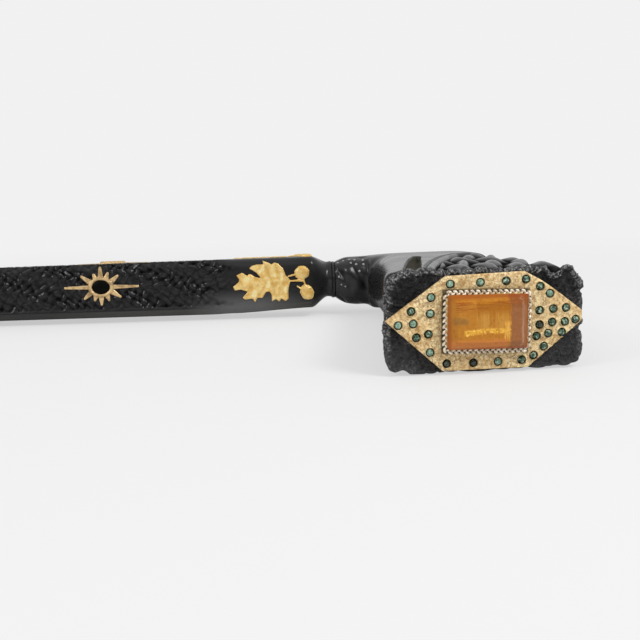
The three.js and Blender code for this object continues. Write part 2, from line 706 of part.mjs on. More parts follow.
// Foot: a brass ferrule on the tenon, with a steel tip and a cross pin
const sleeveTop = footWidth / 2;
const sleeveFoot = sleeveTop - ferruleTaper;
const sleeveInside = tenonRadius + seatGap;
const ferruleEnd = ferruleMouth + ferruleLength;
const spigotHole = tipSpigotRadius + seatGap;
const ferruleRows = [
  [-ferruleEnd, spigotHole],
  [-ferruleEnd, sleeveFoot],
  [-ferruleMouth - ferruleWall / 3, sleeveTop],
  [-ferruleMouth, sleeveTop - ferruleWall / 3],
  [-ferruleMouth, sleeveInside],
  [-ferruleEnd + ferruleEndWall + ferruleTaper, sleeveInside],
  [-ferruleEnd + ferruleEndWall, sleeveInside - ferruleTaper],
  [-ferruleEnd + ferruleEndWall, spigotHole],
  [-ferruleEnd, spigotHole],
];
footGroup.updateMatrix();
stick.add(footGroup);
const ferrule = cutForPin(toSolid(turned(ferruleRows).translate(0, 0, -footDrop)));
addPiece(footGroup, 'ferrule', toGeometry(ferrule), brass);
const tipRows = [
  [-footReach, 0],
  [-footReach, sleeveFoot - tipThickness / 4],
  [-footReach + tipThickness / 4, sleeveFoot],
  [-ferruleEnd, sleeveFoot],
  [-ferruleEnd, tipSpigotRadius],
  [-ferruleEnd + tipSpigotLength, tipSpigotRadius],
  [-ferruleEnd + tipSpigotLength, 0],
];
const tip = addPiece(footGroup, 'ferrule_tip', closedSkin(turned(tipRows)), steel);
tip.position.z = -footDrop;
const pinReach = sleeveTop - (ferruleTaper * pinPlace) / ferruleLength;
addPiece(footGroup, 'ferrule_pin', closedSkin(pinRod(pinRadius, pinReach)), steel);

// The origin goes to the middle of the stick's footprint, on the table
const extent = new THREE.Box3().setFromObject(stick, true);
const middle = extent.getCenter(new THREE.Vector3());
stick.position.set(-middle.x, -middle.y, -extent.min.z);

export default stick;
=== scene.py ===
import math

import bpy
import numpy as np
from mathutils import Matrix, Vector


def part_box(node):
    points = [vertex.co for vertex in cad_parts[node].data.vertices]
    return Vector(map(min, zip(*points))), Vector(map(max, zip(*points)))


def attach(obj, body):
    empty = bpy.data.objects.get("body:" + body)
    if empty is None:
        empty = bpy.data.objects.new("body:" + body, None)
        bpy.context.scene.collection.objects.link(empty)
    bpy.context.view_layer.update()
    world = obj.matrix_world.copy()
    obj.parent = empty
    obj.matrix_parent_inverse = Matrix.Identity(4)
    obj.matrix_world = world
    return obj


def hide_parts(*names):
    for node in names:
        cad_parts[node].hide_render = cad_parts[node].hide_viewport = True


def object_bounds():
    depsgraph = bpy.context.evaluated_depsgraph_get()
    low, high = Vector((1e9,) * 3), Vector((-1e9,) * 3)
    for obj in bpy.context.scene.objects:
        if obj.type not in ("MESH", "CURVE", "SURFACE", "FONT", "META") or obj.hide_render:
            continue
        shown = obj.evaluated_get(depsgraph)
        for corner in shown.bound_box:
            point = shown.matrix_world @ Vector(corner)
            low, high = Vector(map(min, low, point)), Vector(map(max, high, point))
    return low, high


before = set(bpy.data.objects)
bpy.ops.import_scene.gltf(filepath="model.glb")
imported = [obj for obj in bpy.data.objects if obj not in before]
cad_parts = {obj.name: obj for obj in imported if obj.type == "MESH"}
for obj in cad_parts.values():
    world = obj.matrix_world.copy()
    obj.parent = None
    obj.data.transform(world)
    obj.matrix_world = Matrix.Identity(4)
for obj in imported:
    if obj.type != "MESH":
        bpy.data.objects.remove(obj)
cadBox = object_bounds()
print("frame loaded:", len(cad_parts), "nodes")

mm = 0.001
mergeGap = 0.000002  # corners nearer than this are one
body = "root"
cornerPlace = np.array([416.5723, 54.6914, 0])  # where the shaft's axis meets the grip's, in the frame
rng = np.random.default_rng(7)


# The camera, the floor and the sky
studio = {
    "eye": (0.371772, -0.323120, 0.0576),
    "lens": 56.5,
    "yaw": math.radians(2.4728),
    "pitch": math.radians(9.0623),
    "roll": math.radians(-1.4149),
    "floorSize": 12,
    "floorMiddle": (0.35, 1, -0.0002),
    "floorColour": (0.79, 0.79, 0.795),
    "floorGlow": 0.62,  # how much of the floor's brightness is its own, for the camera
    "glowFrom": 0.43,  # distance from the camera where that share starts to grow
    "glowOver": 0.3,  # and the distance over which it grows to all
    "skyColour": (0.88, 0.88, 0.88),
    "skyAbove": 0.66,
    "skyBehind": 0.72,  # near the horizon behind the stick
    "skyBefore": 0.19,  # and on the camera's side, where the room is dim
    "skyFades": [  # the fades to behind and to above: axis, gain and start
        ((0, 1, 0), 1.1, 0.45),
        ((0, 0, 1), 2.2, -0.3),
    ],
    "lampAim": (0.38, 0, 0.01),
}


def clearSelection():
    bpy.ops.object.select_all(action="DESELECT")


def pick(piece):
    clearSelection()
    piece.select_set(True)
    bpy.context.view_layer.objects.active = piece


def aimOfCamera():
    turn = Matrix.Rotation(-studio["yaw"], 4, "Z")
    tilt = Matrix.Rotation(math.pi / 2 - studio["pitch"], 4, "X")
    return turn @ tilt @ Matrix.Rotation(studio["roll"], 4, "Z")


def placeCamera():
    camera = added(bpy.ops.object.camera_add)
    camera.name = "photoCamera"
    camera.data.sensor_width = 36
    camera.data.lens = studio["lens"]
    camera.data.clip_start, camera.data.clip_end = 0.01, 50
    camera.matrix_world = Matrix.Translation(studio["eye"]) @ aimOfCamera()
    bpy.context.scene.camera = camera


# Holds one output socket, so that shader maths reads as plain sums
class Wire:
    def __init__(self, finish, socket):
        self.finish, self.socket = finish, socket

    def maths(self, operation, *values):
        return self.finish.node("ShaderNodeMath", {"operation": operation}, values)

    def __add__(self, other):
        return self.maths("ADD", self, other)

    def __radd__(self, other):
        return self.maths("ADD", other, self)

    def __sub__(self, other):
        return self.maths("SUBTRACT", self, other)

    def __rsub__(self, other):
        return self.maths("SUBTRACT", other, self)

    def __mul__(self, other):
        return self.maths("MULTIPLY", self, other)

    def __rmul__(self, other):
        return self.maths("MULTIPLY", other, self)

    def __truediv__(self, other):
        return self.maths("DIVIDE", self, other)

    def __abs__(self):
        return self.maths("ABSOLUTE", self)

    def atMost(self, limit):
        return self.maths("MINIMUM", self, limit)

    def clipped(self):
        return self.maths("MAXIMUM", self, 0).atMost(1)

    # A share that grows from 0 at a level
    def above(self, level, gain):
        return ((self - level) * gain).clipped()

    # A share that is 1 between two values, with soft edges inside them
    def band(self, start, end, soft, softEnd=None):
        return ((self - start) / soft).clipped() * ((end - self) / (softEnd or soft)).clipped()


# Makes nodes in a tree: of a material, or of the world
class Nodes:
    def __init__(self, tree):
        self.tree = tree

    def node(self, kind, settings=None, sockets=(), out=0):
        made = self.tree.nodes.new(kind)
        for name, value in (settings or {}).items():
            if name == "stops":
                self.setStops(made.color_ramp, value)
            else:
                setattr(made, name, value)
        pairs = sockets.items() if isinstance(sockets, dict) else enumerate(sockets)
        for key, value in pairs:
            self.plug(value, made.inputs[key])
        return Wire(self, made.outputs[out])

    def setStops(self, ramp, stops):
        while len(ramp.elements) < len(stops):
            ramp.elements.new(0.5)
        for element, (place, colour) in zip(ramp.elements, stops):
            element.position = place
            element.color = (*colour, 1)

    def plug(self, value, socket):
        if isinstance(value, Wire):
            self.tree.links.new(value.socket, socket)
        else:
            socket.default_value = value

    def vector(self, operation, *values, out="Vector"):
        return self.node("ShaderNodeVectorMath", {"operation": operation}, values, out)

    # Shows one shader, and the other by a share over it
    def show(self, output, share, first, second):
        mixed = self.node("ShaderNodeMixShader", {}, [share, first, second])
        self.tree.links.new(mixed.socket, self.tree.nodes[output].inputs["Surface"])


class Finish(Nodes):
    def __init__(self, name, colour, roughness, **constants):
        self.material = bpy.data.materials.new(name)
        self.material.use_nodes = True
        self.material.diffuse_color = (*colour, 1)
        super().__init__(self.material.node_tree)
        self.shader = self.tree.nodes["Principled BSDF"]
        self.feed(Base_Color=(*colour, 1), Roughness=roughness)
        self.feed(**constants)

    def feed(self, **values):
        for name, value in values.items():
            self.plug(value, self.shader.inputs[name.replace("_", " ")])
        return self.material

    def spot(self):
        return self.node("ShaderNodeTexCoord", out="Object")

    # A place's three coordinates
    def split(self, spot):
        outputs = self.node("ShaderNodeSeparateXYZ", {}, [spot]).socket.node.outputs
        return [Wire(self, output) for output in outputs]

    def share(self, name):
        return self.node("ShaderNodeAttribute", {"attribute_name": name}, out="Fac")

    def noise(self, scale, detail=3, stretch=(1, 1, 1), rough=0.55):
        place = self.node("ShaderNodeMapping", {}, {"Vector": self.spot(), "Scale": stretch})
        sockets = {"Vector": place, "Scale": scale, "Detail": detail, "Roughness": rough}
        return self.node("ShaderNodeTexNoise", {}, sockets)

    def cells(self, scale):
        return self.node("ShaderNodeTexVoronoi", {}, {"Vector": self.spot(), "Scale": scale})

    def ramp(self, value, *stops):
        return self.node("ShaderNodeValToRGB", {"stops": stops}, [value])

    def mix(self, share, first, second):
        first, second = [(*c, 1) if isinstance(c, tuple) else c for c in (first, second)]
        return self.node("ShaderNodeMix", {"data_type": "RGBA"}, {0: share, 6: first, 7: second}, out=2)

    # A matt colour that takes the finish's place by a share
    def underlay(self, share, colour):
        settings = {"Base Color": (*colour, 1), "Roughness": 0.9, "Specular IOR Level": 0.05}
        matt = self.node("ShaderNodeBsdfPrincipled", {}, settings)
        self.show("Material Output", share, Wire(self, self.shader.outputs[0]), matt)

    def bump(self, height, depth, strength):
        sockets = {"Height": height, "Distance": depth, "Strength": strength}
        self.feed(Normal=self.node("ShaderNodeBump", {}, sockets))


def makeCarvedWood():
    wood = Finish("carvedWood", (0.008, 0.0078, 0.0085), 0.22, IOR=1.5, Specular_IOR_Level=0.4)
    grain = wood.noise(900, 4, (0.12, 1, 1))
    worn = wood.noise(70, 3)
    # the plain wood beside the sprigs is greyer toward the table: a painted reflection of the pale table
    x, _, z = wood.split(wood.spot())
    plain = x.band(0.338, 0.384, 0.016, 0.018) * ((0.011 - z) / 0.008).clipped()
    colour = wood.mix(grain, (0.008, 0.008, 0.009), (0.021, 0.0205, 0.0205))
    # painted reflection: the lower chamfers are drawn paler, as the table's reflection in them
    colour = wood.mix(wood.share("rubbed") * (0.5 + 0.5 * grain), colour, (0.06, 0.058, 0.05))
    wood.bump(grain * 0.5 + worn, 0.00005, 0.5)
    # painted shade: the carving's hollows are drawn near black
    wood.underlay(wood.share("hollow"), (0.0035, 0.003, 0.003))
    rough = 0.12 + 0.14 * worn + 0.05 * grain + 0.12 * plain
    return wood.feed(Base_Color=wood.mix(plain, colour, (0.12, 0.118, 0.118)), Roughness=rough)


def makeFaceWood():
    wood = Finish("faceWood", (0.02, 0.019, 0.02), 0.5, IOR=1.45, Specular_IOR_Level=0.4)
    grain = wood.noise(500, 5, (1, 1, 0.6), 0.7)
    chips = wood.noise(1900, 4, rough=0.75)
    patch = wood.noise(90, 2)
    rough = wood.ramp(
        grain * 0.4 + chips * 0.4 + patch * 0.25,
        (0.46, (0.002, 0.002, 0.0025)), (0.52, (0.014, 0.0135, 0.0145)), (0.57, (0.04, 0.039, 0.04)),
        (0.62, (0.18, 0.175, 0.175)),
    )
    # painted highlights: pale flecks where the rim's share says its lumps catch the light
    pale = wood.ramp(chips, (0.4, (0.03, 0.03, 0.03)), (0.52, (0.2, 0.2, 0.2)), (0.62, (0.5, 0.5, 0.49)))
    # painted light: the face is drawn lighter toward its bottom, near the table
    low = ((0.016 - wood.split(wood.spot())[2]) / 0.012).clipped()
    rough = wood.mix(low * 0.6, rough, (0.06, 0.059, 0.06))
    wood.bump(grain + 0.5 * chips, 0.0012, 1)
    return wood.feed(Base_Color=wood.mix(wood.share("worn"), rough, pale), Roughness=0.3 + 0.35 * grain)


# The scoop is drawn matt and dark brownish, with tool marks: painted shade standing in for the dark
# reflection in its hollow
def makeScoopWood():
    wood = Finish("scoopWood", (0.04, 0.036, 0.028), 0.85, Specular_IOR_Level=0.03)
    marks = wood.noise(500, 4, (0.3, 1, 1))
    wood.bump(marks, 0.0001, 0.7)
    return wood.feed(Base_Color=wood.mix(marks, (0.026, 0.025, 0.018), (0.078, 0.072, 0.054)))


def makeHammeredGold():
    gold = Finish("hammeredGold", (0.7, 0.48, 0.24), 0.42, Metallic=0.25)
    mottle = gold.noise(1000, 4, rough=0.65)
    broad = gold.noise(200, 3)
    long, short = [abs(gold.noise(scale, 2, (1, 1, tall)) - 0.5) for scale, tall in ((480, 1), (820, 1.4))]
    scratches = (1 - long * 20).clipped() + (1 - short * 15).clipped() * 0.8
    shade = gold.ramp(
        mottle * 0.6 + broad * 0.4,
        (0.39, (0.48, 0.28, 0.1)), (0.46, (0.77, 0.54, 0.25)), (0.57, (0.98, 0.79, 0.44)),
    )
    stain = (scratches * (0.2 + 0.8 * broad.above(0.36, 4))).clipped() * 0.7
    gold.bump(mottle - scratches * 0.5, 0.00014, 0.9)
    # painted shade under the border and round the small stones
    gold.underlay(gold.share("hollow"), (0.06, 0.035, 0.015))
    return gold.feed(Base_Color=gold.mix(stain, shade, (0.24, 0.11, 0.035)), Roughness=0.34 + 0.25 * mottle)


def makeCastGold(name, dark, light):
    gold = Finish(name, light, 0.38, Metallic=0.25)
    tone = gold.ramp(gold.noise(480, 4, rough=0.6), (0.4, dark), (0.56, light))
    # painted shade in the leaf's hollows; on the acorns, their own darker tone
    tone = gold.mix(gold.share("hollow") * 0.55, tone, (0.5, 0.27, 0.05))
    # painted highlights on the leaf's highest lumps
    tone = gold.mix(gold.share("polished"), tone, (1, 0.87, 0.44))
    gold.bump(gold.noise(700, 3), 0.00016, 0.6)
    return gold.feed(Base_Color=tone, Roughness=0.14 + 0.25 * gold.noise(420, 3))


def makeSilverGilt():
    gilt = Finish("silverGilt", (0.8, 0.7, 0.55), 0.35, Metallic=0.3)
    tone = gilt.noise(600, 3)
    bright = gilt.ramp(tone, (0.4, (0.6, 0.48, 0.33)), (0.56, (0.94, 0.85, 0.7)))
    # painted shade where the rope's wires dip
    colour = gilt.mix((gilt.share("hollow") * 1.3).clipped(), bright, (0.05, 0.03, 0.018))
    return gilt.feed(Base_Color=colour, Roughness=0.3 + 0.15 * tone)


# Green glass: facet cells, with a cloud of random tone, go between its dark and light colour as painted facet
# reflections, and a painted flash of highlight goes over them
def makeGreenGlass(name, dark, light, gleam=1):
    glass = Finish(name, light, 0.1, IOR=1.6)
    facets = glass.cells(1500)
    cloud = glass.noise(1000, 3)
    shade = (facets * 1.1 + cloud * 1.5 - 0.95).clipped()
    paintedFlash = ((facets - 0.55) * 4 + cloud - 0.5).clipped()
    return glass.feed(Base_Color=glass.mix(paintedFlash * gleam, glass.mix(shade, dark, light), (0.42, 0.55, 0.42)))


# Amber glass over its gold seat: the seat seen through it and the light in its facets are painted on, drawn
# in the end face's own plane
def makeAmberGlass(middle, rake):
    glass = Finish("amberGlass", (0.47, 0.17, 0.04), 0.1, IOR=1.5, Specular_IOR_Level=0.25)
    plane = {"Vector": glass.spot(), "Location": middle, "Rotation": (0, 0, rake), "Scale": (mm, mm, mm)}
    x, _, z = glass.split(glass.node("ShaderNodeMapping", {"vector_type": "TEXTURE"}, plane))
    ripple = glass.noise(420, 4, (1, 1, 1.3), 0.65)
    fine = glass.noise(1500, 3, rough=0.7)
    lines = glass.noise(700, 3, (0.15, 0.15, 3), 0.7)
    strips = glass.noise(700, 3, (3, 3, 0.15), 0.7)
    across = x + (ripple - 0.5) * 1.6 - 0.4
    up = z + (fine - 0.5) * 0.9

    def patch(left, right, softAcross, bottom, top, softUp):
        return across.band(left, right, softAcross) * up.band(bottom, top, softUp)

    bow = up + 2.15 + 0.008 * across * across
    arc = bow.band(-0.95, 0.95, 0.5) * across.band(-7.4, 6, 0.8)
    rim = 1 - x.band(-10.3, 11.2, 0.7) * z.band(-7.1, 6.7, 0.7)
    layers = [
        (patch(-10.4, -5.5, 1, -0.6, 1.9, 0.8) * 0.65, (0.24, 0.13, 0.03)),
        (patch(-4.2, 5.8, 0.7, 1.2, 6.2, 1.2) * 0.9, (0.39, 0.128, 0.0003)),
        (patch(-4.4, 5.6, 1, -2.5, 3.5, 1.5) * strips.above(0.38, 4), (0.56, 0.27, 0.04)),
        (patch(-9.4, -4.2, 0.5, 3, 6.2, 0.6) * lines.above(0.46, 9), (0.3, 0.06, 0.002)),
        (patch(-4.2, 5.8, 0.7, 3.4, 6, 0.5) * lines.above(0.47, 8), (0.3, 0.085, 0.001)),
        # the bright arc below the middle and its sparks: a painted reflection with painted glints
        (arc * (0.66 + (fine - 0.5) * 2.5).clipped(), (0.86, 0.45, 0.045)),
        (arc * fine.above(0.56, 12), (1, 0.68, 0.16)),
        # the facets on the right and at the bottom, as painted reflections
        (patch(3.4, 5.6, 0.6, -5, 0.6, 0.8) * strips.above(0.42, 7), (0.8, 0.42, 0.07)),
        (across.band(5.3, 12, 0.4) * 0.85, (0.27, 0.1, 0.04)),
        (patch(4.6, 12, 1, 3.4, 9, 1.4) * 0.8, (0.25, 0.065, 0.008)),
        (across.band(8, 9.4, 0.5) * strips.above(0.44, 6) * 0.6, (0.5, 0.3, 0.2)),
        (patch(-12, 5.3, 0.8, -9, -3.9, 1.2) * 0.75, (0.62, 0.2, 0.045)),
        # pale and dark flecks all over, and the dark rim as painted shade
        (fine.above(0.54, 5) * 0.35, (0.62, 0.27, 0.04)),
        (((0.46 - fine) * 6).clipped() * 0.5, (0.26, 0.08, 0.006)),
        (rim * 0.7, (0.3, 0.06, 0.006)),
    ]
    colour = glass.mix(ripple, (0.4, 0.13, 0.008), (0.56, 0.24, 0.018))
    for share, tone in layers:
        colour = glass.mix(share, colour, tone)
    return glass.feed(Base_Color=colour)


def makeBlackGlass():
    glass = Finish("blackGlass", (0.002, 0.002, 0.002), 0.35, Specular_IOR_Level=0.06)
    tint = glass.noise(500, 2)
    return glass.feed(Base_Color=glass.mix(tint, (0.001, 0.001, 0.001), (0.004, 0.004, 0.003)))


def makeTurnedMetal(name, dark, light, roughness, metallic=1):
    metal = Finish(name, light, roughness, Metallic=metallic)
    scratches = metal.noise(300, 4, (14, 0.6, 0.6))
    stain = metal.noise(90, 3)
    metal.bump(scratches, 0.00003, 0.5)
    return metal.feed(Base_Color=metal.mix(stain, dark, light), Roughness=roughness + 0.18 * scratches)


carvedWood = makeCarvedWood()
faceWood = makeFaceWood()
scoopWood = makeScoopWood()
hammeredGold = makeHammeredGold()
castGold = makeCastGold("castGold", (0.82, 0.5, 0.13), (0.95, 0.69, 0.27))
sunGold = makeCastGold("sunGold", (0.4, 0.26, 0.12), (0.7, 0.49, 0.24))
silverGilt = makeSilverGilt()
# copies of one green glass, paler and darker: painted light and shade for the stones' facets
darkGreenGlass = makeGreenGlass("darkGreenGlass", (0.012, 0.04, 0.026), (0.08, 0.2, 0.125))
paleGreenGlass = makeGreenGlass("paleGreenGlass", (0.1, 0.21, 0.15), (0.35, 0.53, 0.4))
deepGreenGlass = makeGreenGlass("deepGreenGlass", (0.004, 0.012, 0.009), (0.025, 0.055, 0.04), 0.15)
blackGlass = makeBlackGlass()
# painted highlights: the pale grey of the head's glossy black bosses where they catch the light
bossGlint = makeTurnedMetal("bossGlint", (0.14, 0.145, 0.14), (0.44, 0.45, 0.44), 0.4, 0)
steel = makeTurnedMetal("steel", (0.3, 0.3, 0.31), (0.52, 0.53, 0.55), 0.26)
brass = makeTurnedMetal("brass", (0.42, 0.29, 0.1), (0.7, 0.53, 0.25), 0.22)
print("finishes made")


# Merges the active piece's corners, or wraps them in a hull, and turns its facets outwards
def closeMesh(hull=False):
    bpy.ops.object.mode_set(mode="EDIT")
    bpy.ops.mesh.select_all(action="SELECT")
    if hull:
        bpy.ops.mesh.convex_hull()
    else:
        bpy.ops.mesh.remove_doubles(threshold=mergeGap)
    bpy.ops.mesh.normals_make_consistent(inside=False)
    bpy.ops.object.mode_set(mode="OBJECT")


# Joins pieces into the first one
def joinPieces(pieces):
    pick(pieces[0])
    for piece in pieces[1:]:
        piece.select_set(True)
    bpy.ops.object.join()
    return pieces[0]


# Runs a Blender step that adds an object, and gives that object
def added(step, **settings):
    clearSelection()
    step(**settings)
    return bpy.context.object


def makeBall(segments, rings, radius):
    ball = {"segments": segments, "ring_count": rings, "radius": radius * mm}
    return added(bpy.ops.mesh.primitive_uv_sphere_add, **ball)


# A closed skin through rings of places in the part's millimetres: a grid whose corners are moved
def gridSkin(name, rings, joined=False, **shares):
    def closed(values):
        values = np.concatenate([values, values[:, :1]], axis=1)
        return np.concatenate([values, values[:1]]) if joined else values

    rings = closed(rings)
    rows, columns = rings.shape[:2]
    grid = bpy.ops.mesh.primitive_grid_add
    piece = added(grid, x_subdivisions=columns - 1, y_subdivisions=rows - 1)
    piece.name = piece.data.name = name
    piece.matrix_world = Matrix.Identity(4)
    places = np.clip((rings + cornerPlace) * mm, *np.array(cadBox))
    piece.data.vertices.foreach_set("co", places.reshape(-1))
    for share, values in shares.items():
        setShare(piece, share, closed(values))
    closeMesh()
    return piece


# A share at each corner that the finishes read: "hollow" is how deep it lies in the carving, and the finishes
# paint shade with it
def setShare(piece, name, values):
    layer = piece.data.attributes.new(name, "FLOAT", "POINT")
    layer.data.foreach_set("value", np.clip(values, 0, 1).reshape(-1))


# Rings that shrink to a point, to close a skin at one end
def closingRings(ring, shares=(0.5, 0), centre=None):
    centre = ring.mean(axis=0) if centre is None else centre
    return np.array([centre + (ring - centre) * share for share in shares])


# A skin's rings, with two more at each end that close it
def capped(rings):
    return np.concatenate([closingRings(rings[0])[::-1], rings, closingRings(rings[-1])])


# Places in a plane, turned clockwise by an angle
def swung(x, y, angle):
    cosine, sine = math.cos(angle), math.sin(angle)
    return x * cosine + y * sine, y * cosine - x * sine


# The distance run along a path at each of its points
def runOf(path):
    return np.concatenate([[0], np.cumsum(np.linalg.norm(np.diff(path, axis=0), axis=1))])


# Places spaced evenly along a path, without its end
def spaced(path, count):
    run = runOf(path)
    return np.stack([np.interp(np.arange(count) / count * run[-1], run, column) for column in path.T], axis=1)


# A copy of a CAD node's mesh with its corners merged, to be worked on
def copyNode(node, name):
    pick(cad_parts[node])
    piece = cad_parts[node].copy()
    piece.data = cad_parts[node].data.copy()
    piece.name = piece.data.name = name
    piece.hide_render = piece.hide_viewport = False
    for key in list(piece.keys()):
        del piece[key]
    piece.parent = None
    bpy.context.collection.objects.link(piece)
    pick(piece)
    closeMesh()
    return piece


def applyModifier(piece, kind, **settings):
    pick(piece)
    made = piece.modifiers.new(kind.lower(), kind)
    for name, value in settings.items():
        setattr(made, name, value)
    bpy.ops.object.modifier_apply(modifier=made.name)


def cornersOf(piece):
    places = np.empty(len(piece.data.vertices) * 3)
    piece.data.vertices.foreach_get("co", places)
    return places.reshape(-1, 3)


def moveCorners(piece, places):
    piece.data.vertices.foreach_set("co", places.reshape(-1))
    piece.data.update()


# Facets that meet at less than the smooth angle are shaded as one
def finishPiece(piece, material, nodes, smooth):
    pick(piece)
    if material:
        piece.data.materials.clear()
        piece.data.materials.append(material)
    bpy.ops.object.shade_smooth_by_angle(angle=math.radians(smooth))
    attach(piece, body)
    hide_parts(*nodes)


def smoothStep(value, start, end):
    share = np.clip((value - start) / (end - start), 0, 1)
    return share * share * (3 - 2 * share)


# A round mound's height: 1 in the middle, 0 from a distance of 1 on
def mound(away, power=1):
    return np.clip(1 - away**2, 0, 1) ** power


# Height of a plait of crossing strands: 1 on top of a strand, 0 in the gaps between
def plait(x, y, width, dip=0.5):
    u, v = x + y, x - y
    i, j = np.floor(u), np.floor(v)
    acrossU, acrossV = u - i - 0.5, v - j - 0.5
    over = np.where((i + j) % 2 < 1, 1, -1)
    first = mound(2 * acrossV / width, 0.6) * (1 - dip + dip * over * np.cos(math.pi * acrossU))
    second = mound(2 * acrossU / width, 0.6) * (1 - dip - dip * over * np.cos(math.pi * acrossV))
    return np.maximum(first, second)


# Normals of a skin of rings, outwards
def ringNormals(rings):
    around = np.roll(rings, -1, axis=1) - np.roll(rings, 1, axis=1)
    along = np.gradient(rings, axis=0)
    normals = np.cross(around, along)
    normals /= np.linalg.norm(normals, axis=2, keepdims=True) + 1e-12
    outward = rings - rings.mean(axis=1, keepdims=True)
    if (normals * outward).sum() < 0:
        normals = -normals
    return normals


# The shaft, in millimetres, with places along it from the grip's axis
shaftShape = {
    "width": 20,
    "chamfer": 2.4,
    "footWidth": 14,
    "ferruleMouth": 836,
    "turn": math.radians(-5.4),
    "axisHeight": 11.8,
    "squareEnd": 30.6,
    "edge": 1.3,  # length of the square end that eases into the neck
    "lift": 0.8,  # how far the underside curves up toward the square end
    "liftFrom": 52,
    "sag": 0.6,  # and how far it bellies beyond that
    "sagStart": (44, 62),
    "sagEnd": (150, 240),
    "plainPower": 5.5,  # squareness of the uncarved end
    "neckRadius": 6.3,
    "neckRise": 0.9,
    "neckLift": 0.3,
    "neckFlare": 0.45,  # how far it widens again toward the collar
    "neckEnd": 24,
    "neckSteps": 24,
    "pitch": 3.9,
    "strand": 0.7,  # a strand's share of the plait's pitch
    "carveDepth": 0.8,
    "markDepth": 0.18,
    "margin": (0.5, 1),  # from a flat's uncarved edge to full depth
    "smooth": (60, 68),  # the carving fades out on the way to the handle, between these
    "rubbed": (100, 135),  # the lower chamfers' painted reflection of the table is weaker beyond this
    "shaded": (31, 42),  # the wood is a little darker up to this
}
shaftLength = shaftShape["ferruleMouth"] - shaftShape["squareEnd"]
shaftTaper = (shaftShape["width"] - shaftShape["footWidth"]) / shaftLength
shaftParts = [  # name, start and end from the grip's axis, step along, corners on a flat and on a chamfer
    ("shaft_upper", shaftShape["squareEnd"], 152, 0.37, 42, 9),
    ("shaft_middle", 152, 494, 0.6, 27, 7),
    ("shaft_lower", 494, shaftShape["ferruleMouth"], 0.6, 27, 7),
]


def shaftRings(places, flatCorners, edgeCorners):
    shape = shaftShape
    width = shape["width"] - shaftTaper * (places - shape["squareEnd"])
    half = width / 2
    flat = half - shape["chamfer"] * width / shape["width"]
    drop = (shape["width"] - width) / 2
    edge = (half - flat) * math.sqrt(2)
    outline = []
    for side in range(4):
        for start, end, count in ((-1, 1, flatCorners), (1, 2, edgeCorners)):
            outline += [(side, start + (end - start) * step / count) for step in range(count)]
    rings = np.zeros((len(places), len(outline), 3))
    hollow = np.zeros((len(places), len(outline)))
    rubbed = np.zeros_like(hollow)
    for column, (side, t) in enumerate(outline):
        onFlat = t <= 1
        spot = side * (2 * flat + edge) + (flat * t if onFlat else flat + edge * (t - 1))
        # the two upper chamfers are carved with the flats; the two lower ones are left smooth
        gap = np.full_like(places, 9.0)
        if onFlat and side in (2, 3):
            gap = flat * (1 - t)
        if onFlat and side in (3, 0):
            gap = np.minimum(gap, flat * (1 + t))
        if not onFlat and side >= 2:
            gap = np.zeros_like(places)
            # the lower chamfers carry the painted reflection of the table
            rubbed[:, column] = 1 - 0.7 * smoothStep(places, *shape["rubbed"])
        relief = shaftRelief(places, spot, gap)
        # the deeper the carving, the darker it is drawn, as painted shade; the wood is also a little darker
        # near the square end
        hollow[:, column] = relief / shape["carveDepth"] + 0.2 * (1 - smoothStep(places, *shape["shaded"]))
        out, along = half - relief, flat * t
        if not onFlat:
            out = half + (flat - half) * (t - 1) - relief * 0.7
            along = flat + (half - flat) * (t - 1) - relief * 0.7
        angle = side * math.pi / 2
        rings[:, column, 0] = -places
        rings[:, column, 1] = out * math.cos(angle) - along * math.sin(angle)
        rings[:, column, 2] = out * math.sin(angle) + along * math.cos(angle) - drop
    # the plain end is rounder, and its underside curves up
    plain = 0.8 * (1 - smoothStep(places, *shape["smooth"]))[:, None]
    y, z = np.abs(rings[..., 1]) / half[:, None], np.abs(rings[..., 2] + drop[:, None]) / half[:, None]
    power = shape["plainPower"]
    reach = (y**power + z**power) ** (1 / power)
    rings[..., 1:] *= (1 + plain * (1 / reach - 1))[..., None]
    rise = shape["lift"] * (1 - smoothStep(places, shape["squareEnd"], shape["liftFrom"]))
    rise -= shape["sag"] * smoothStep(places, *shape["sagStart"]) * (1 - smoothStep(places, *shape["sagEnd"]))
    low = smoothStep(-rings[..., 2], 5, 8)
    rings[..., 2] += low * rise[:, None]
    return rings, hollow, rubbed


# How deep the carving goes at a spot round the shaft, with strands that wander and gouge marks
def shaftRelief(places, spot, gap):
    shape, pitch = shaftShape, shaftShape["pitch"]
    bend = 0.9 * np.sin(places * 0.31 + spot * 0.2) + 0.3 * np.sin(places * 1.13)
    x = places + 0.8 * np.sin(spot * 0.61 + 1) + bend
    y = spot + 0.6 * np.sin(places * 0.37 + spot * 0.15) + 0.3 * np.sin(places * 0.93 + 2)
    height = plait(x / pitch, y / pitch, shape["strand"])
    marks = rugged(places * 0.9, spot * 0.9 + 0.4 * places)
    wander = 3 * np.sin(spot * 0.9) + 2 * np.sin(spot * 0.4 + 1)
    keep = smoothStep(gap, *shape["margin"]) * smoothStep(places + wander, *shape["smooth"])
    depth = shape["carveDepth"] * (0.7 + 0.3 * np.sin(places * 0.23 + spot * 0.6))
    return keep * (depth * (1 - height) + shape["markDepth"] * marks)


# Uneven lumps from 0 to 1, about a millimetre or two wide
def rugged(x, y):
    waves = [
        (2.3, 0.9, 0.4), (-1.1, 2.1, 2.2), (3.1, -1.7, 5.1),
        (0.7, 3.3, 1.3), (4.4, 1.3, 3.6), (-3.7, 2.9, 0.2),
    ]
    total = sum(np.sin(a * x + b * y + c + 0.6 * np.sin(b * x - a * y)) for a, b, c in waves)
    return np.clip(0.5 + total / 5, 0, 1)


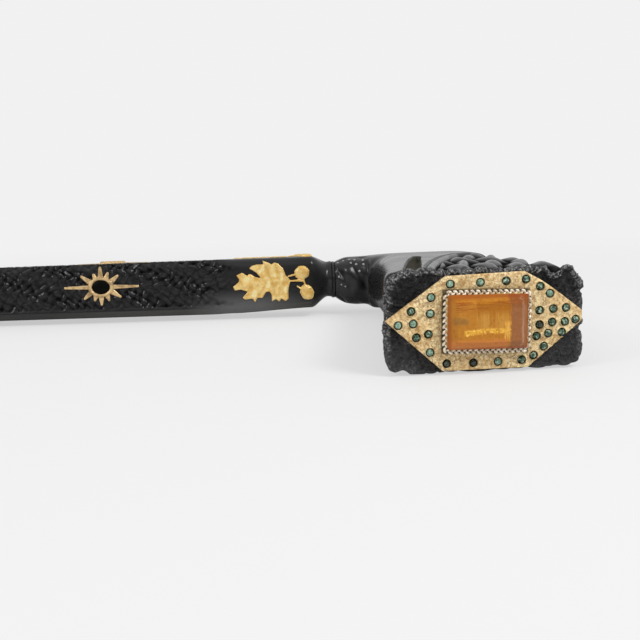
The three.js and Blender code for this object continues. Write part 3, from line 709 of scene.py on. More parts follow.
def turnShaft(rings):
    y, z = swung(rings[..., 1], rings[..., 2], -shaftShape["turn"])
    return np.stack([rings[..., 0], y, z + shaftShape["axisHeight"]], axis=2)


# The square end runs down to the round neck in a soft hollow
def neckRings(square):
    shape = shaftShape
    middle = shape["axisHeight"] + shape["neckRise"] + shape["neckLift"]
    away = square[:, 1:] - (0, middle)
    wide = np.linalg.norm(away, axis=1, keepdims=True)
    rings = []
    for step in range(1, shape["neckSteps"] + 1):
        share = step / shape["neckSteps"]
        fall = share * share * (3 - 2 * share)
        radius = shape["neckRadius"] + (wide - shape["neckRadius"]) * (1 - fall) ** 1.2
        radius += shape["neckFlare"] * smoothStep(share, 0.75, 1)
        ring = np.empty_like(square)
        ring[:, 0] = square[0, 0] + (-shape["neckEnd"] - square[0, 0]) * share
        ring[:, 1:] = (0, middle) + away / wide * radius
        rings.append(ring)
    return np.array(rings)


def makeShaft():
    for name, start, end, step, flatCorners, edgeCorners in shaftParts:
        atNeck = start == shaftShape["squareEnd"]
        start += shaftShape["edge"] * atNeck
        places = np.linspace(start, end, round((end - start) / step) + 1)
        rings, hollow, rubbed = shaftRings(places, flatCorners, edgeCorners)
        rings = turnShaft(rings)
        neck = neckRings(rings[0])[::-1] if atNeck else rings[:0]
        rings = capped(np.concatenate([neck, rings]))
        hollow, rubbed = [np.pad(share, ((len(neck) + 2, 2), (0, 0))) for share in (hollow, rubbed)]
        piece = gridSkin(name, rings, hollow=hollow, rubbed=rubbed)
        finishPiece(piece, carvedWood, ["shaft"], 38)


makeShaft()
print("shaft carved")


# The handle, with lengths along the grip from the shaft's axis
handleShape = {
    "headLength": 22.5,
    "gripReach": 114.8,
    "rake": math.radians(5.1),
    "faceWidth": 56,
    "faceHeight": 28.6,
    "faceShift": 0.8,
    "faceEdge": 0.4,
    "elbowBottom": 1.9,
    "elbowTop": 24.5,
    "elbowDepth": 26,
    "columns": 328,
    "rows": 290,
    "railSteps": 1200,
    "endLength": 7,  # of the part at the end face, which is made finer
    "endRows": 24,
    "rimRows": 8,
    "faceRows": 80,
    "rimRound": 1.1,  # radius of the worn edge of the end face
    "rimRough": 0.7,
    "pits": (0.4, 0.3),  # depth of the broad and the fine pits of the face
    "pitchAcross": 8.3,
    "pitchAlong": 31,
    "plaitStart": (-1.2, 72),  # round and along: a gap between the strands, before they wander
    "strand": 0.6,  # a strand's share of the plait's pitch
    "strandDip": 0.46,  # how far a strand goes down under the next one
    "carveDepth": 2.2,
    "edgeStrand": 3.4,  # width of the strand that borders the plait
    "carveStart": (24, 34),
    "carveEnd": (109, 113),  # the plait is shallower beyond this
    "shallower": 0.55,
    "scoopStart": (51, 55),
    "rimStart": (107.5, 110),  # where the scoop ends and the chips begin
    "underside": (-0.9, -0.5),  # heights of the skin's normal, between the underside and the rest
    "rimLumps": (111, 113),
    "rimGlint": (110.5, 113.5),
    "flankDepth": 2.4,
    "flankHeight": (6, 16),  # the flank is hollowed below this
    "flankStart": (25, 60),
    "flankEnd": (100, 108),
    "scoopDepth": 2.1,
    "scoopAbove": 18,
    "headStart": (9.2, 11),
    "headEnd": (22, 22.4),
    "headShrink": math.radians(9.2),  # turns degrees round the head into millimetres
}
# The handle's sections as shares of its sizes. On the head: place, half size, neck's rise, squareness
headShares = [
    (1, 0.67, 1, 2.2), (0.92, 0.77, 0.8, 2.5), (0.82, 0.86, 0.6, 2.8), (0.67, 0.895, 0.4, 3),
    (0.48, 0.91, 0.4, 3),
]
# Round the elbow: inner across and along, outer across and along, height of the top, squareness
elbowShares = [
    (-0.61, 0.51, 0.15, -0.49, 0, 2.9), (-0.58, 0.56, 0.72, -0.36, 0.12, 2.9),
    (-0.565, 0.65, 1.13, 0.04, 0.25, 3.1), (-0.56, 0.85, 1.3, 0.6, 0.55, 3.6),
]
# Along the grip: place, inner half width, outer half width, growth toward the end face, squareness
gripShares = [
    (0, 0.415, 0.96, 0.02, 4.4), (0.16, 0.47, 0.965, 0.17, 5.2), (0.36, 0.59, 0.97, 0.38, 6),
    (0.61, 0.74, 0.98, 0.63, 7), (0.83, 0.89, 0.99, 0.84, 8), (1, 1, 1, 1, 9),
]
# The polished elbow ends on this line over the top: along the grip, and across it
polishLine = (
    [30, 37.7, 41.8, 45.9, 56.2, 66.7, 81.5, 99.7, 116], [34, 18.9, 14.2, 9.6, 3.8, -0.5, -6.1, -12, -16.5],
)
# The scoop in the polished top: along the grip, and across it to its middle or from there to its edge
scoopMiddle = ([56, 66.5, 91.5, 118], [-4.2, -7.3, -13.5, -20])
scoopHalf = ([52, 57, 66.5, 91.5, 118], [0.6, 1.5, 1.9, 2.4, 2.4])
# Chips in the edge of the end face: place round it from the middle of the top, half width, depth
rimChips = [
    (19.2, 2.6, 1.7), (16.2, 1, 0.5), (27.5, 2.8, 0.9), (33.3, 0.8, 0.8), (39.8, 1.4, 0.6), (43.4, 1, 0.8),
    (-27, 3.6, 0.7), (-38, 1.2, 0.6), (-31.5, 0.8, 0.4), (-57, 2, 0.4), (-46, 8, -0.6),
    (6, 1.4, 0.4), (0.5, 1, 0.3), (-5, 1.2, 0.35), (-11, 1, 0.3), (-19, 1.2, 0.5),
]
# Small bosses on the head: place from the grip's axis, angle from the top toward the front, width
headBosses = [
    (21.3, 23, 0.95), (19.5, 22, 0.9), (17.3, 26, 1), (15.1, 30, 1), (12.1, 32, 1), (16.9, 41, 1),
    (14.6, 46, 1), (12.1, 46, 0.95), (14, 62, 0.95), (21.3, 72, 0.9), (20.6, 94, 0.6), (18.9, 99, 0.6),
]


def gripPoint(across, along, height):
    x, y = swung(across, along, handleShape["rake"])
    return np.array([x, -y, height])


def gripPlaces(places):
    across, along = swung(places[..., 0], places[..., 1], handleShape["rake"])
    return across, -along, places[..., 2]


def handleSections():
    shape, size, axis = handleShape, shaftShape["width"], shaftShape["axisHeight"]
    rows = []
    for placeShare, halfShare, riseShare, power in headShares:
        half, middle = halfShare * size / 2, axis + riseShare * shaftShape["neckRise"]
        place = -shape["headLength"] * placeShare
        rows.append(((place, -half, middle - half), (place, half, middle + half), power))
    for innerAcross, innerAlong, outerAcross, outerAlong, topShare, power in elbowShares:
        top = shape["elbowTop"] - (1 - topShare) * (shape["elbowTop"] - axis - size / 2)
        inner = gripPoint(innerAcross * size, innerAlong * size, shape["elbowBottom"])
        rows.append((inner, gripPoint(outerAcross * size, outerAlong * size, top), power))
    half, length = shape["faceWidth"] / 2, shape["gripReach"] - shape["faceEdge"] - shape["elbowDepth"]
    for alongShare, innerShare, outerShare, grow, power in gripShares:
        along = shape["elbowDepth"] + alongShare * length
        shift, bottom = shape["faceShift"] * grow, shape["elbowBottom"] * (1 - grow)
        top = shape["elbowTop"] + grow * (shape["faceHeight"] - shape["elbowTop"])
        inner = gripPoint(shift - innerShare * half, along, bottom)
        rows.append((inner, gripPoint(shift + outerShare * half, along, top), power))
    inner, outer, squareness = zip(*rows)
    return np.array(inner), np.array(outer), squareness


# A smooth rail through points, as in the CAD, at shares of its spans
def railPlaces(points, shares):
    last = len(points) - 1
    spans = np.minimum((shares * last).astype(int), last - 1)
    t = (shares * last - spans)[:, None]
    rail = np.concatenate([[2 * points[0] - points[1]], points, [2 * points[-1] - points[-2]]])
    a, b, c, d = [rail[spans + step] for step in range(4)]
    gapA, gapB, gapC = [np.linalg.norm(q - p, axis=1)[:, None] ** 0.5 for p, q in ((a, b), (b, c), (c, d))]
    leave = ((b - a) / gapA - (c - a) / (gapA + gapB) + (c - b) / gapB) * gapB
    reach = ((c - b) / gapB - (d - b) / (gapB + gapC) + (d - c) / gapC) * gapB
    square, cube = 3 * (c - b) - 2 * leave - reach, 2 * (b - c) + leave + reach
    return b + leave * t + square * t**2 + cube * t**3


# A squared oval between two corners, with its points evenly spaced in each quarter
def ovalRing(inner, outer, power, columns):
    turn = np.linspace(0, 2 * math.pi, 4 * 360 + 1)
    cosine, sine = np.cos(turn), np.sin(turn)
    reach = (np.abs(cosine) ** power + np.abs(sine) ** power) ** (-1 / power)
    middle, half = (inner + outer) / 2, (outer - inner) / 2
    fine = middle + np.stack([size * reach * leg for size, leg in zip(half, (cosine, cosine, sine))], axis=1)
    return np.concatenate([spaced(fine[first : first + 361], columns // 4) for first in (0, 360, 720, 1080)])


# Rings along the handle between two distances from its end face, or from the neck's end if none
def handleRings(columns, rows, start, end):
    inner, outer, squareness = handleSections()
    fine = np.linspace(0, 1, handleShape["railSteps"])
    run = runOf(0.35 * railPlaces(inner, fine) + 0.65 * railPlaces(outer, fine))
    first = 0 if start is None else run[-1] - start
    shares = np.interp(np.linspace(first, run[-1] - end, rows), run, fine)
    powers = np.interp(shares * (len(squareness) - 1), range(len(squareness)), squareness)
    rails = zip(railPlaces(inner, shares), railPlaces(outer, shares), powers)
    return np.array([ovalRing(*row, columns) for row in rails])


# How much of a point on the grip lies in the scoop in its polished top
def scoopShare(across, along, upward):
    away = (across - np.interp(along, *scoopMiddle)) / np.interp(along, *scoopHalf)
    ends = smoothStep(along, *handleShape["scoopStart"]) * (1 - smoothStep(along, *handleShape["rimStart"]))
    return mound(away, 0.5) * ends * smoothStep(upward, 0.3, 0.7)


def isScooped(across, along, height):
    return scoopShare(across, along, (height > handleShape["scoopAbove"]) * 1.0) > 0.25


def headAngles(rings):
    centre = shaftShape["axisHeight"] + 0.4 * shaftShape["neckRise"]
    return np.degrees(np.arctan2(np.abs(rings[..., 1]), rings[..., 2] - centre))


# How deep the chips at a distance round the end face's edge go
def chipDepth(around):
    chips = np.zeros_like(around)
    for spot, width, depth in rimChips:
        dip = depth * mound((around - spot) / width, 0.7)
        chips = np.where(np.abs(dip) > np.abs(chips), dip, chips)
    return chips


# The plait over the grip, with the strand that borders it
def gripWeave(around, along, inside):
    shape, border = handleShape, handleShape["edgeStrand"]
    x = around + 1.1 * np.sin(along * 0.11 + 0.6) + 0.5 * np.sin(along * 0.29 + around * 0.2)
    y = along + 2.2 * np.sin(around * 0.31 + 1.1) + 1.2 * np.sin(around * 0.67)
    x, y = x - shape["plaitStart"][0], y - shape["plaitStart"][1]
    weave = plait(x / shape["pitchAcross"], y / shape["pitchAlong"], shape["strand"], shape["strandDip"])
    edging = mound(2 * inside / border - 1, 0.6)
    return np.where(inside < border, edging, weave * smoothStep(inside, border, border + 0.7))


# How far each point of the handle's skin goes in, with its normal and the shares that its finishes read
def handleRelief(rings):
    shape = handleShape
    across, along, height = gripPlaces(rings)
    normal = ringNormals(rings)
    upward = normal[..., 2]
    # the distance round each ring from the middle of its top
    columns = rings.shape[1]
    steps = np.linalg.norm(np.roll(rings, -1, axis=1) - rings, axis=2)
    run = np.cumsum(steps, axis=1) - steps
    girth = steps.sum(axis=1, keepdims=True)
    around = run[:, columns // 4, None] - run
    around[:, columns * 3 // 4 :] += girth

    # strands over the grip, from the polished elbow's edge to the end face
    inside = across - np.interp(along, *polishLine)
    weave = gripWeave(around, along, inside)
    strands = smoothStep(inside, -0.2, 0.6) * smoothStep(along, *shape["carveStart"])
    strands *= smoothStep(around + girth / 2, 1.5, 6) * smoothStep(girth / 2 - around, -2, 6)
    deep = shape["carveDepth"] * (0.55 + 0.45 * smoothStep(upward, -0.4, 0.7))
    deep = deep * (1 - shape["shallower"] * smoothStep(along, *shape["carveEnd"]))
    relief = strands * deep * (1 - weave)

    # chips and lumps round the edge of the end face
    under = smoothStep(upward, *shape["underside"])
    lump = rugged(across + along, height - along)
    lumpy = smoothStep(along, *shape["rimLumps"]) * smoothStep(height - 0.3 * across, 8, 24)
    swell = 0.45 - 0.7 * lump * lumpy
    lumps = (1 - strands * 0.6) * under * swell
    relief += smoothStep(along, *shape["rimStart"]) * (chipDepth(around) + lumps)

    # the grip's inner flank is hollowed toward the table, and its top has the scoop
    flank = smoothStep(-normal[..., 0], 0.3, 0.9) * (1 - smoothStep(height, *shape["flankHeight"]))
    flank *= smoothStep(along, *shape["flankStart"]) * (1 - smoothStep(along, *shape["flankEnd"]))
    relief += shape["flankDepth"] * flank
    relief += shape["scoopDepth"] * scoopShare(across, along, upward)

    # the head's ground, between its bosses
    place, angle = -rings[..., 0], headAngles(rings)
    onHead = smoothStep(place, *shape["headStart"]) * (1 - smoothStep(place, *shape["headEnd"]))
    ground = 0.5 + 0.3 * np.sin(place * 1.15 + angle * 0.045) * np.sin(angle * 0.11 + 1)
    ring = np.abs(np.sin((angle - 20) * 0.045 + place * 0.5))
    relief += onHead * (ground * (1 - 0.55 * ring) * smoothStep(np.abs(rings[..., 1]), 1, 3))

    # painted shade: the plait's gaps and the head's ground between its bosses are darkened
    hollow = strands * smoothStep(1 - weave, 0.25, 0.7) + onHead * smoothStep(relief, 0.4, 0.9) * 0.6
    # painted highlights: pale flecks on the rim's lumps, away from its underside
    worn = smoothStep(along, *shape["rimGlint"]) * (1 - 0.5 * strands) * under * smoothStep(lump, 0.35, 0.7)
    return relief, normal, hollow, worn


def chooseFinish(piece, choice):
    centres = np.empty(len(piece.data.polygons) * 3)
    piece.data.polygons.foreach_get("center", centres)
    chosen = choice(*gripPlaces(centres.reshape(-1, 3) / mm - cornerPlace))
    piece.data.polygons.foreach_set("material_index", chosen.astype(np.int32))


# Small bosses on the head, drawn pale grey as painted highlights on their glossy black
def makeBosses(rings, normal):
    angle = headAngles(rings)
    made = []
    for spot, tilt, width in headBosses:
        away = np.hypot(-rings[..., 0] - spot, (angle - tilt) * handleShape["headShrink"])
        away += (rings[..., 1] > 0) * 9  # only the front side
        row, column = np.unravel_index(np.argmin(away), away.shape)
        boss = makeBall(14, 8, width / 2)
        place = Vector(rings[row, column] + cornerPlace) * mm
        turn = Vector(normal[row, column]).to_track_quat("Z", "Y").to_matrix().to_4x4()
        boss.data.transform(Matrix.Translation(place) @ turn @ Matrix.Diagonal((1, 1, 0.5, 1)))
        boss.data.materials.append(bossGlint)
        made.append(boss)
    return made


def makeHandle():
    shape = handleShape
    rings = handleRings(shape["columns"], shape["rows"], None, shape["endLength"])
    relief, normal, hollow, _ = handleRelief(rings)
    carved = rings - normal * relief[..., None]
    grip = gridSkin("handle_carved", capped(carved), hollow=np.pad(hollow, ((2, 2), (0, 0))))
    for finish in (carvedWood, scoopWood, bossGlint):
        grip.data.materials.append(finish)
    chooseFinish(grip, isScooped)
    grip = joinPieces([grip, *makeBosses(carved, normal)])
    finishPiece(grip, None, ["handle"], 42)


# The part at the end face, with a worn edge and a rough face
def makeHandleEnd():
    shape = handleShape
    outward = gripPoint(0, 1, 0)
    rimGap = shape["rimRound"] - shape["faceEdge"]
    rings = handleRings(shape["columns"] * 2, shape["endRows"], shape["endLength"], rimGap)
    relief, normal, hollow, worn = handleRelief(rings)
    carved = rings - normal * relief[..., None]
    across, along, height = gripPlaces(carved[-1])
    radius = shape["gripReach"] - along.mean()
    under = smoothStep(normal[-1][:, 2], *shape["underside"])
    # the edge is roughest at the top and toward the elbow's inner side
    high = 0.35 + 0.65 * smoothStep(height - 0.25 * across, 12, 20)
    rough = shape["rimRough"] * high * (1 - 0.6 * smoothStep(across, 18, 25))
    atEdge = rugged(across + along, height - along)
    # painted highlights: pale flecks on the rounded rim, strongest toward its top
    easing, glints = [], []
    for step in range(1, shape["rimRows"] + 1):
        turn = step / shape["rimRows"] * math.pi / 2
        arc = along + radius * turn
        lump = rugged(across + arc, height - arc)
        fleck = rugged((across - arc) * 1.5, (height + arc) * 1.5)
        uneven = (0.64 - lump) * math.cos(turn) - 0.64 + atEdge
        inward = radius * (1 - math.cos(turn)) * (0.4 + 0.6 * under) + under * rough * uneven
        easing.append(carved[-1] - normal[-1] * inward[:, None] + outward * radius * math.sin(turn))
        glints.append(under * high * smoothStep(lump * 0.5 + fleck, 0.5, 0.95))
    fromRim = np.linspace(0, 1, shape["faceRows"])[:, None]
    centre = gripPoint(shape["faceShift"], shape["gripReach"], shape["faceHeight"] / 2)
    face = closingRings(easing[-1], np.linspace(0.99, 0, shape["faceRows"]), centre)
    across, _, height = gripPlaces(face)
    broad, small = shape["pits"]
    pits = broad * (1 - rugged(across * 0.8, height)) + small * (1 - rugged(across * 1.5, height * 1.7))
    face -= (pits * smoothStep(fromRim, 0, 0.05))[..., None] * outward
    # the painted highlights fade out just inside the face
    fade = glints[-1] * (1 - smoothStep(fromRim, 0, 0.03))
    skin = np.concatenate([closingRings(carved[0])[::-1], carved, easing, face])
    hollow = np.pad(hollow, ((2, len(easing) + len(face)), (0, 0)))
    worn = np.concatenate([np.zeros_like(carved[:2, :, 0]), worn, glints, fade])
    end = gridSkin("handle_end", skin, hollow=hollow, worn=worn)
    for finish in (carvedWood, faceWood, scoopWood):
        end.data.materials.append(finish)

    def endFinish(across, along, height):
        beside = across < np.interp(along, *polishLine)
        rim = (along > 112.6 + 0.4 * np.sin(across * 2.1)) | ((along > 109) & beside)
        return np.where(isScooped(across, along, height) & ~rim, 2, rim * 1)

    chooseFinish(end, endFinish)
    finishPiece(end, None, ["handle"], 42)


makeHandle()
makeHandleEnd()
print("handle carved")


# The end plate, with places from the middle of the end face
endShape = {
    "voxel": 0.27,
    "front": (0.8, 1.3),  # heights off the end face between which the hammering sets in
    "dent": 0.14,
    "dents": 700,
    "dentSpread": (28, 14),
    "dentRadius": (0.7, 1.5),
    "lip": 0.22,
    "lipGap": 0.3,
    "lipWidth": 0.32,
    "stoneRadius": 0.97,
    "stoneScale": 0.87,
    "stoneHeight": 1.8,
    "stoneSink": 0.3,
    "jewelShift": 0.3,
    "jewelGrow": 1.01,
    "jewelLean": math.radians(1.3),
    "cornerCut": 0.003,  # metres: what is cut off a corner is less than this
    "cornerFill": 0.6,  # and this share of it is put back
}
ropeShape = {
    "wires": 3, "turns": 16, "stepsPerTurn": 24, "sides": 9, "radius": 0.34, "swell": 0.3, "sway": 0.5,
    "rise": 0.34, "depth": 2.6, "shift": 0.35, "across": 11.3, "top": 7.6, "bottom": -7.95, "corner": 1.2,
    "cornerSteps": 12, "seamHalf": 7.9,
}
# Levels of a brilliant, from its table to its culet: share of the radius and height, corners, turn
stoneLevels = [(0.56, 1, 8, 0), (0.8, 0.84, 8, 0.5), (1, 0.6, 16, 0.5), (1, 0.46, 16, 0.5), (0.5, 0.12, 8, 0)]
facePoint = gripPoint(0, handleShape["gripReach"], handleShape["faceHeight"] / 2)
faceMiddle = Vector((cornerPlace + facePoint) * mm)
faceFrame = Matrix.Translation(faceMiddle) @ Matrix.Rotation(handleShape["rake"], 4, "Z")
stoneNames = [f"green_stone_{i:02d}" for i in range(1, 31)]
# stones drawn in the pale and the deep copies of the green glass, the rest in the dark one: painted light and
# shade for how bright each stone's facets look
paleStones = {1, 2, 6, 7, 9, 10, 11, 14, 17}
deepStones = {15, 16, 22}


def outOfFrame(matrix, places):
    return (np.c_[places, np.ones(len(places))] @ np.array(matrix).T)[:, :3]


def inFrame(matrix, places):
    return outOfFrame(matrix.inverted(), places)


def stoneCentre(node):
    low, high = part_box(node)
    return inFrame(faceFrame, np.array([(low + high) / 2]))[0] / mm


def makePlate():
    shape = endShape
    plate = copyNode("end_plaque", "end_plaque_hammered")
    applyModifier(plate, "REMESH", mode="VOXEL", voxel_size=shape["voxel"] * mm, use_smooth_shade=True)
    spots = inFrame(faceFrame, cornersOf(plate)) / mm
    front = smoothStep(-spots[:, 1], *shape["front"])
    # dents of a small round hammer
    dent = np.zeros(len(spots))
    places = np.stack([rng.uniform(-reach, reach, shape["dents"]) for reach in shape["dentSpread"]], axis=1)
    for (x, z), radius in zip(places, rng.uniform(*shape["dentRadius"], shape["dents"])):
        dent = np.maximum(dent, mound(np.hypot(spots[:, 0] - x, spots[:, 2] - z) / radius))
    lift = -shape["dent"] * dent
    seamShade = np.zeros(len(spots))
    # a raised lip holds each small stone, and painted shade rings the stone inside it
    for node in stoneNames:
        x, _, z = stoneCentre(node)
        away = np.hypot(spots[:, 0] - x, spots[:, 2] - z) - shape["stoneRadius"] - shape["lipGap"]
        lift += shape["lip"] * mound(away / shape["lipWidth"])
        seamShade = np.maximum(seamShade, 1 - smoothStep(away, -0.25, 0.05))
    # painted shade: a dark line lies under the border
    level = leant(spots[:, [0, 2]] * (1, -1)) * (1, -1)
    wide = np.abs(level[:, 0] - ropeShape["shift"]) - ropeShape["across"]
    tall = np.abs(level[:, 1] + 0.2) - ropeShape["seamHalf"]
    seamShade = np.maximum(seamShade, 0.85 * (1 - smoothStep(np.abs(np.maximum(wide, tall)), 0.55, 0.95)))
    spots[:, 1] -= lift * front
    moveCorners(plate, outOfFrame(faceFrame, spots * mm))
    setShare(plate, "hollow", seamShade)
    finishPiece(plate, hammeredGold, ["end_plaque"], 60)


# Round brilliants, each cut as the hull of its levels
def makeStones():
    low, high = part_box(stoneNames[0])
    wide = (high - low).z / 2 / mm * endShape["stoneScale"]
    for number, node in enumerate(stoneNames, 1):
        circles = []
        for share, level, count, shift in stoneLevels:
            circle = added(bpy.ops.mesh.primitive_circle_add, vertices=count, radius=share * wide * mm)
            turn = Matrix.Rotation(shift * 2 * math.pi / count + number, 4, "Z")
            circle.data.transform(Matrix.Translation((0, 0, level * endShape["stoneHeight"] * mm)) @ turn)
            circles.append(circle)
        stone = joinPieces(circles)
        closeMesh(hull=True)
        stone.name = stone.data.name = f"{node}_cut"
        x, _, z = stoneCentre(node)
        stand = Matrix.Translation(Vector((x, -endShape["stoneSink"], z)) * mm)
        stone.data.transform(faceFrame @ stand @ Matrix.Rotation(math.pi / 2, 4, "X"))
        glass = paleGreenGlass if number in paleStones else darkGreenGlass
        if number in deepStones:
            glass = deepGreenGlass
        finishPiece(stone, glass, [node], 1)


# The large stone and its border are turned a little clockwise on the end face
def leant(flat):
    return np.stack(swung(flat[:, 0], flat[:, 1], endShape["jewelLean"]), axis=1)


# The wires are plaited, run round the large stone and close on themselves
def makeRope():
    shape, bend = ropeShape, ropeShape["corner"]
    middle, tall = (shape["top"] + shape["bottom"]) / 2, (shape["top"] - shape["bottom"]) / 2
    path = []
    for quarter, (x, z) in enumerate(((1, 1), (-1, 1), (-1, -1), (1, -1))):
        for step in range(shape["cornerSteps"] + 1):
            turn = (quarter + step / shape["cornerSteps"]) * math.pi / 2
            across = x * (shape["across"] - bend) + bend * math.cos(turn)
            up = z * (tall - bend) + bend * math.sin(turn)
            path.append((across + shape["shift"], middle + up))
    count = shape["turns"] * shape["stepsPerTurn"]
    centre = spaced(leant(np.array(path + path[:1])), count)
    ahead = np.roll(centre, -1, axis=0) - np.roll(centre, 1, axis=0)
    ahead /= np.linalg.norm(ahead, axis=1, keepdims=True)
    angle = np.arange(shape["sides"]) / shape["sides"] * 2 * math.pi
    made = []
    for wire in range(shape["wires"]):
        phase = (np.arange(count) / shape["stepsPerTurn"] + wire / shape["wires"]) * 2 * math.pi
        radius = shape["radius"] * (1 + shape["swell"] * np.sin(2 * phase))[:, None]
        out = shape["sway"] * np.sin(phase)[:, None] + radius * np.cos(angle)
        lift = shape["rise"] * np.sin(2 * phase)[:, None] + radius * np.sin(angle)
        x, z = centre[:, :1] + ahead[:, 1:] * out, centre[:, 1:] - ahead[:, :1] * out
        rings = np.stack([x, -shape["depth"] - lift, z], axis=2)
        placed = outOfFrame(faceFrame, rings.reshape(-1, 3) * mm) / mm - cornerPlace
        # painted shade in the dips where the wires pass under each other
        hollow = smoothStep(0.36 - lift, 0, 0.4)
        made.append(gridSkin("rope_border_plaited", placed.reshape(rings.shape), joined=True, hollow=hollow))
    finishPiece(joinPieces(made), silverGilt, ["rope_border"], 60)


# The large stone, a little wider than its solid and shifted the way its border is
def makeJewel():
    shape = endShape
    jewel = copyNode("citrine", "citrine_step_cut")
    spots = inFrame(faceFrame, cornersOf(jewel))
    # its corners are cut less
    for level in np.unique(spots[:, 1].round(6)):
        ring = np.abs(spots[:, 1] - level) < mergeGap
        for axis in (0, 2):
            reach = np.abs(spots[ring, axis])
            cut = reach.max() - reach
            fill = np.where(cut < shape["cornerCut"], cut * shape["cornerFill"], 0)
            spots[ring, axis] += fill * np.sign(spots[ring, axis])
    spots[:, 0] = spots[:, 0] * shape["jewelGrow"] + shape["jewelShift"] * mm
    spots[:, [0, 2]] = leant(spots[:, [0, 2]])
    moveCorners(jewel, outOfFrame(faceFrame, spots))
    finishPiece(jewel, amberGlass, ["citrine"], 1)


amberGlass = makeAmberGlass(faceMiddle, handleShape["rake"])
makePlate()
makeJewel()
makeStones()
makeRope()
print("end plate set")


# The ornaments on the shaft, with places along it from the grip's axis
seatGap = 0.3
sunShape = {
    "place": 108.8,
    "topShift": 3,  # the one on the top flat is nearer the handle
    "rise": 0.8,
    "reach": 13.4,
    "longRay": (0.85, 0.48),  # radius at the hub and at the tip
    "shortRay": (1.2, 0.5),
    "sink": seatGap + 0.2,
    "hub": (3.9, 2.9),  # half sizes of the oval that the rays start on
    "ballGrow": 1.05,  # of the ball at a ray's tip
    "flatness": 0.36,
    "ringRadius": 4,
    "ringWire": 0.75,
    "voxel": 0.13,
    "dome": (3.55, 2.6, 0.9),
}
sprigShape = {
    "place": 49.5,
    "rise": 0.2,
    "width": 15,
    "voxel": 0.19,
    "level": 0.7,  # of the solid's upper face
    "leafEnd": (0.62, 0.68),  # shares of the width, between the leaf and the acorns
    "leafRise": 0.25,
    "furrowDepth": 0.05,
    "lumpHeight": 0.4,
    "leafFlat": 0.36,  # the heights are brought down to this share on the leaf
    "acornExtra": 0.5,  # and to this much more on the acorns
    "sink": seatGap + 0.1,
}
leanShares = {"front": 0.5, "top": 1, "back": 0.5}
# Each ray's length as a share of the longest, and its turn, from the one toward the handle on
rayShares = [1, 0.54, 0.42, 0.53, 0.39, 0.6, 0.97, 0.54, 0.39, 0.47, 0.41, 0.58]
rayTurns = [0, 33, 63, 91, 119, 150, 180, 214, 243, 270, 300, 332]
# Tips of the leaf's lobes, and where each one's vein leaves the middle vein, which comes last
leafVeins = [
    ((0.29, 0.5), (0.42, 0.06)), ((0.02, 0.54), (0.22, 0.05)), ((-0.31, 0.4), (0.05, 0.04)),
    ((-0.6, 0.25), (-0.25, 0.02)), ((-0.46, -0.33), (-0.12, 0)), ((-0.2, -0.4), (0.08, 0.02)),
    ((0.22, -0.4), (0.3, 0.03)), ((0.39, -0.4), (0.4, 0.04)), ((0.55, -0.38), (0.48, 0.05)),
    ((-0.68, -0.1), (0.62, 0.06)),
]
# Acorns: centre, half length, half width and turn in degrees
acorns = [((0.955, 0.25), 0.2, 0.18, 14), ((1.07, -0.23), 0.21, 0.175, -62)]


# Where an ornament's own plane lies: X toward the handle, Y across the flat, Z off the wood
def flatFrame(side, place, rise):
    lean = leanShares[side] * shaftTaper
    quarter = list(leanShares).index(side)
    height = shaftShape["width"] / 2 - lean * (place - shaftShape["squareEnd"]) + seatGap
    shaft = Matrix.Translation(Vector(cornerPlace + (0, 0, shaftShape["axisHeight"])) * mm)
    shaft = shaft @ Matrix.Rotation(shaftShape["turn"], 4, "X")
    flat = Matrix.Rotation(math.pi / 2 - quarter * math.pi / 2, 4, "X")
    spot = Matrix.Translation(Vector((-place, rise, height)) * mm) @ Matrix.Rotation(-math.atan(lean), 4, "Y")
    return shaft @ flat @ spot


def distanceTo(spots, starts, ends):
    best = np.full(len(spots), 1e9)
    for start, end in zip(starts, ends):
        run = end - start
        share = np.clip(((spots - start) @ run) / max(run @ run, 1e-12), 0, 1)
        best = np.minimum(best, np.hypot(*(spots - start - share[:, None] * run).T))
    return best


# The outline of a flat casting: edges of its outer face that a side wall meets
def outlineOf(piece, matrix, level):
    spots = inFrame(matrix, cornersOf(piece)) / mm
    walls = {}
    turn = np.array(matrix.to_3x3().inverted())
    for facet in piece.data.polygons:
        lift = turn @ np.array(facet.normal)
        for key in facet.edge_keys:
            walls.setdefault(key, []).append(lift[2])
    starts, ends = [], []
    for (a, b), lifts in walls.items():
        atLevel = max(abs(spots[a, 2] - level), abs(spots[b, 2] - level)) < 0.05
        if atLevel and max(lifts) > 0.9 and min(lifts) < 0.3:
            starts.append(spots[a, :2])
            ends.append(spots[b, :2])
    return np.array(starts), np.array(ends)


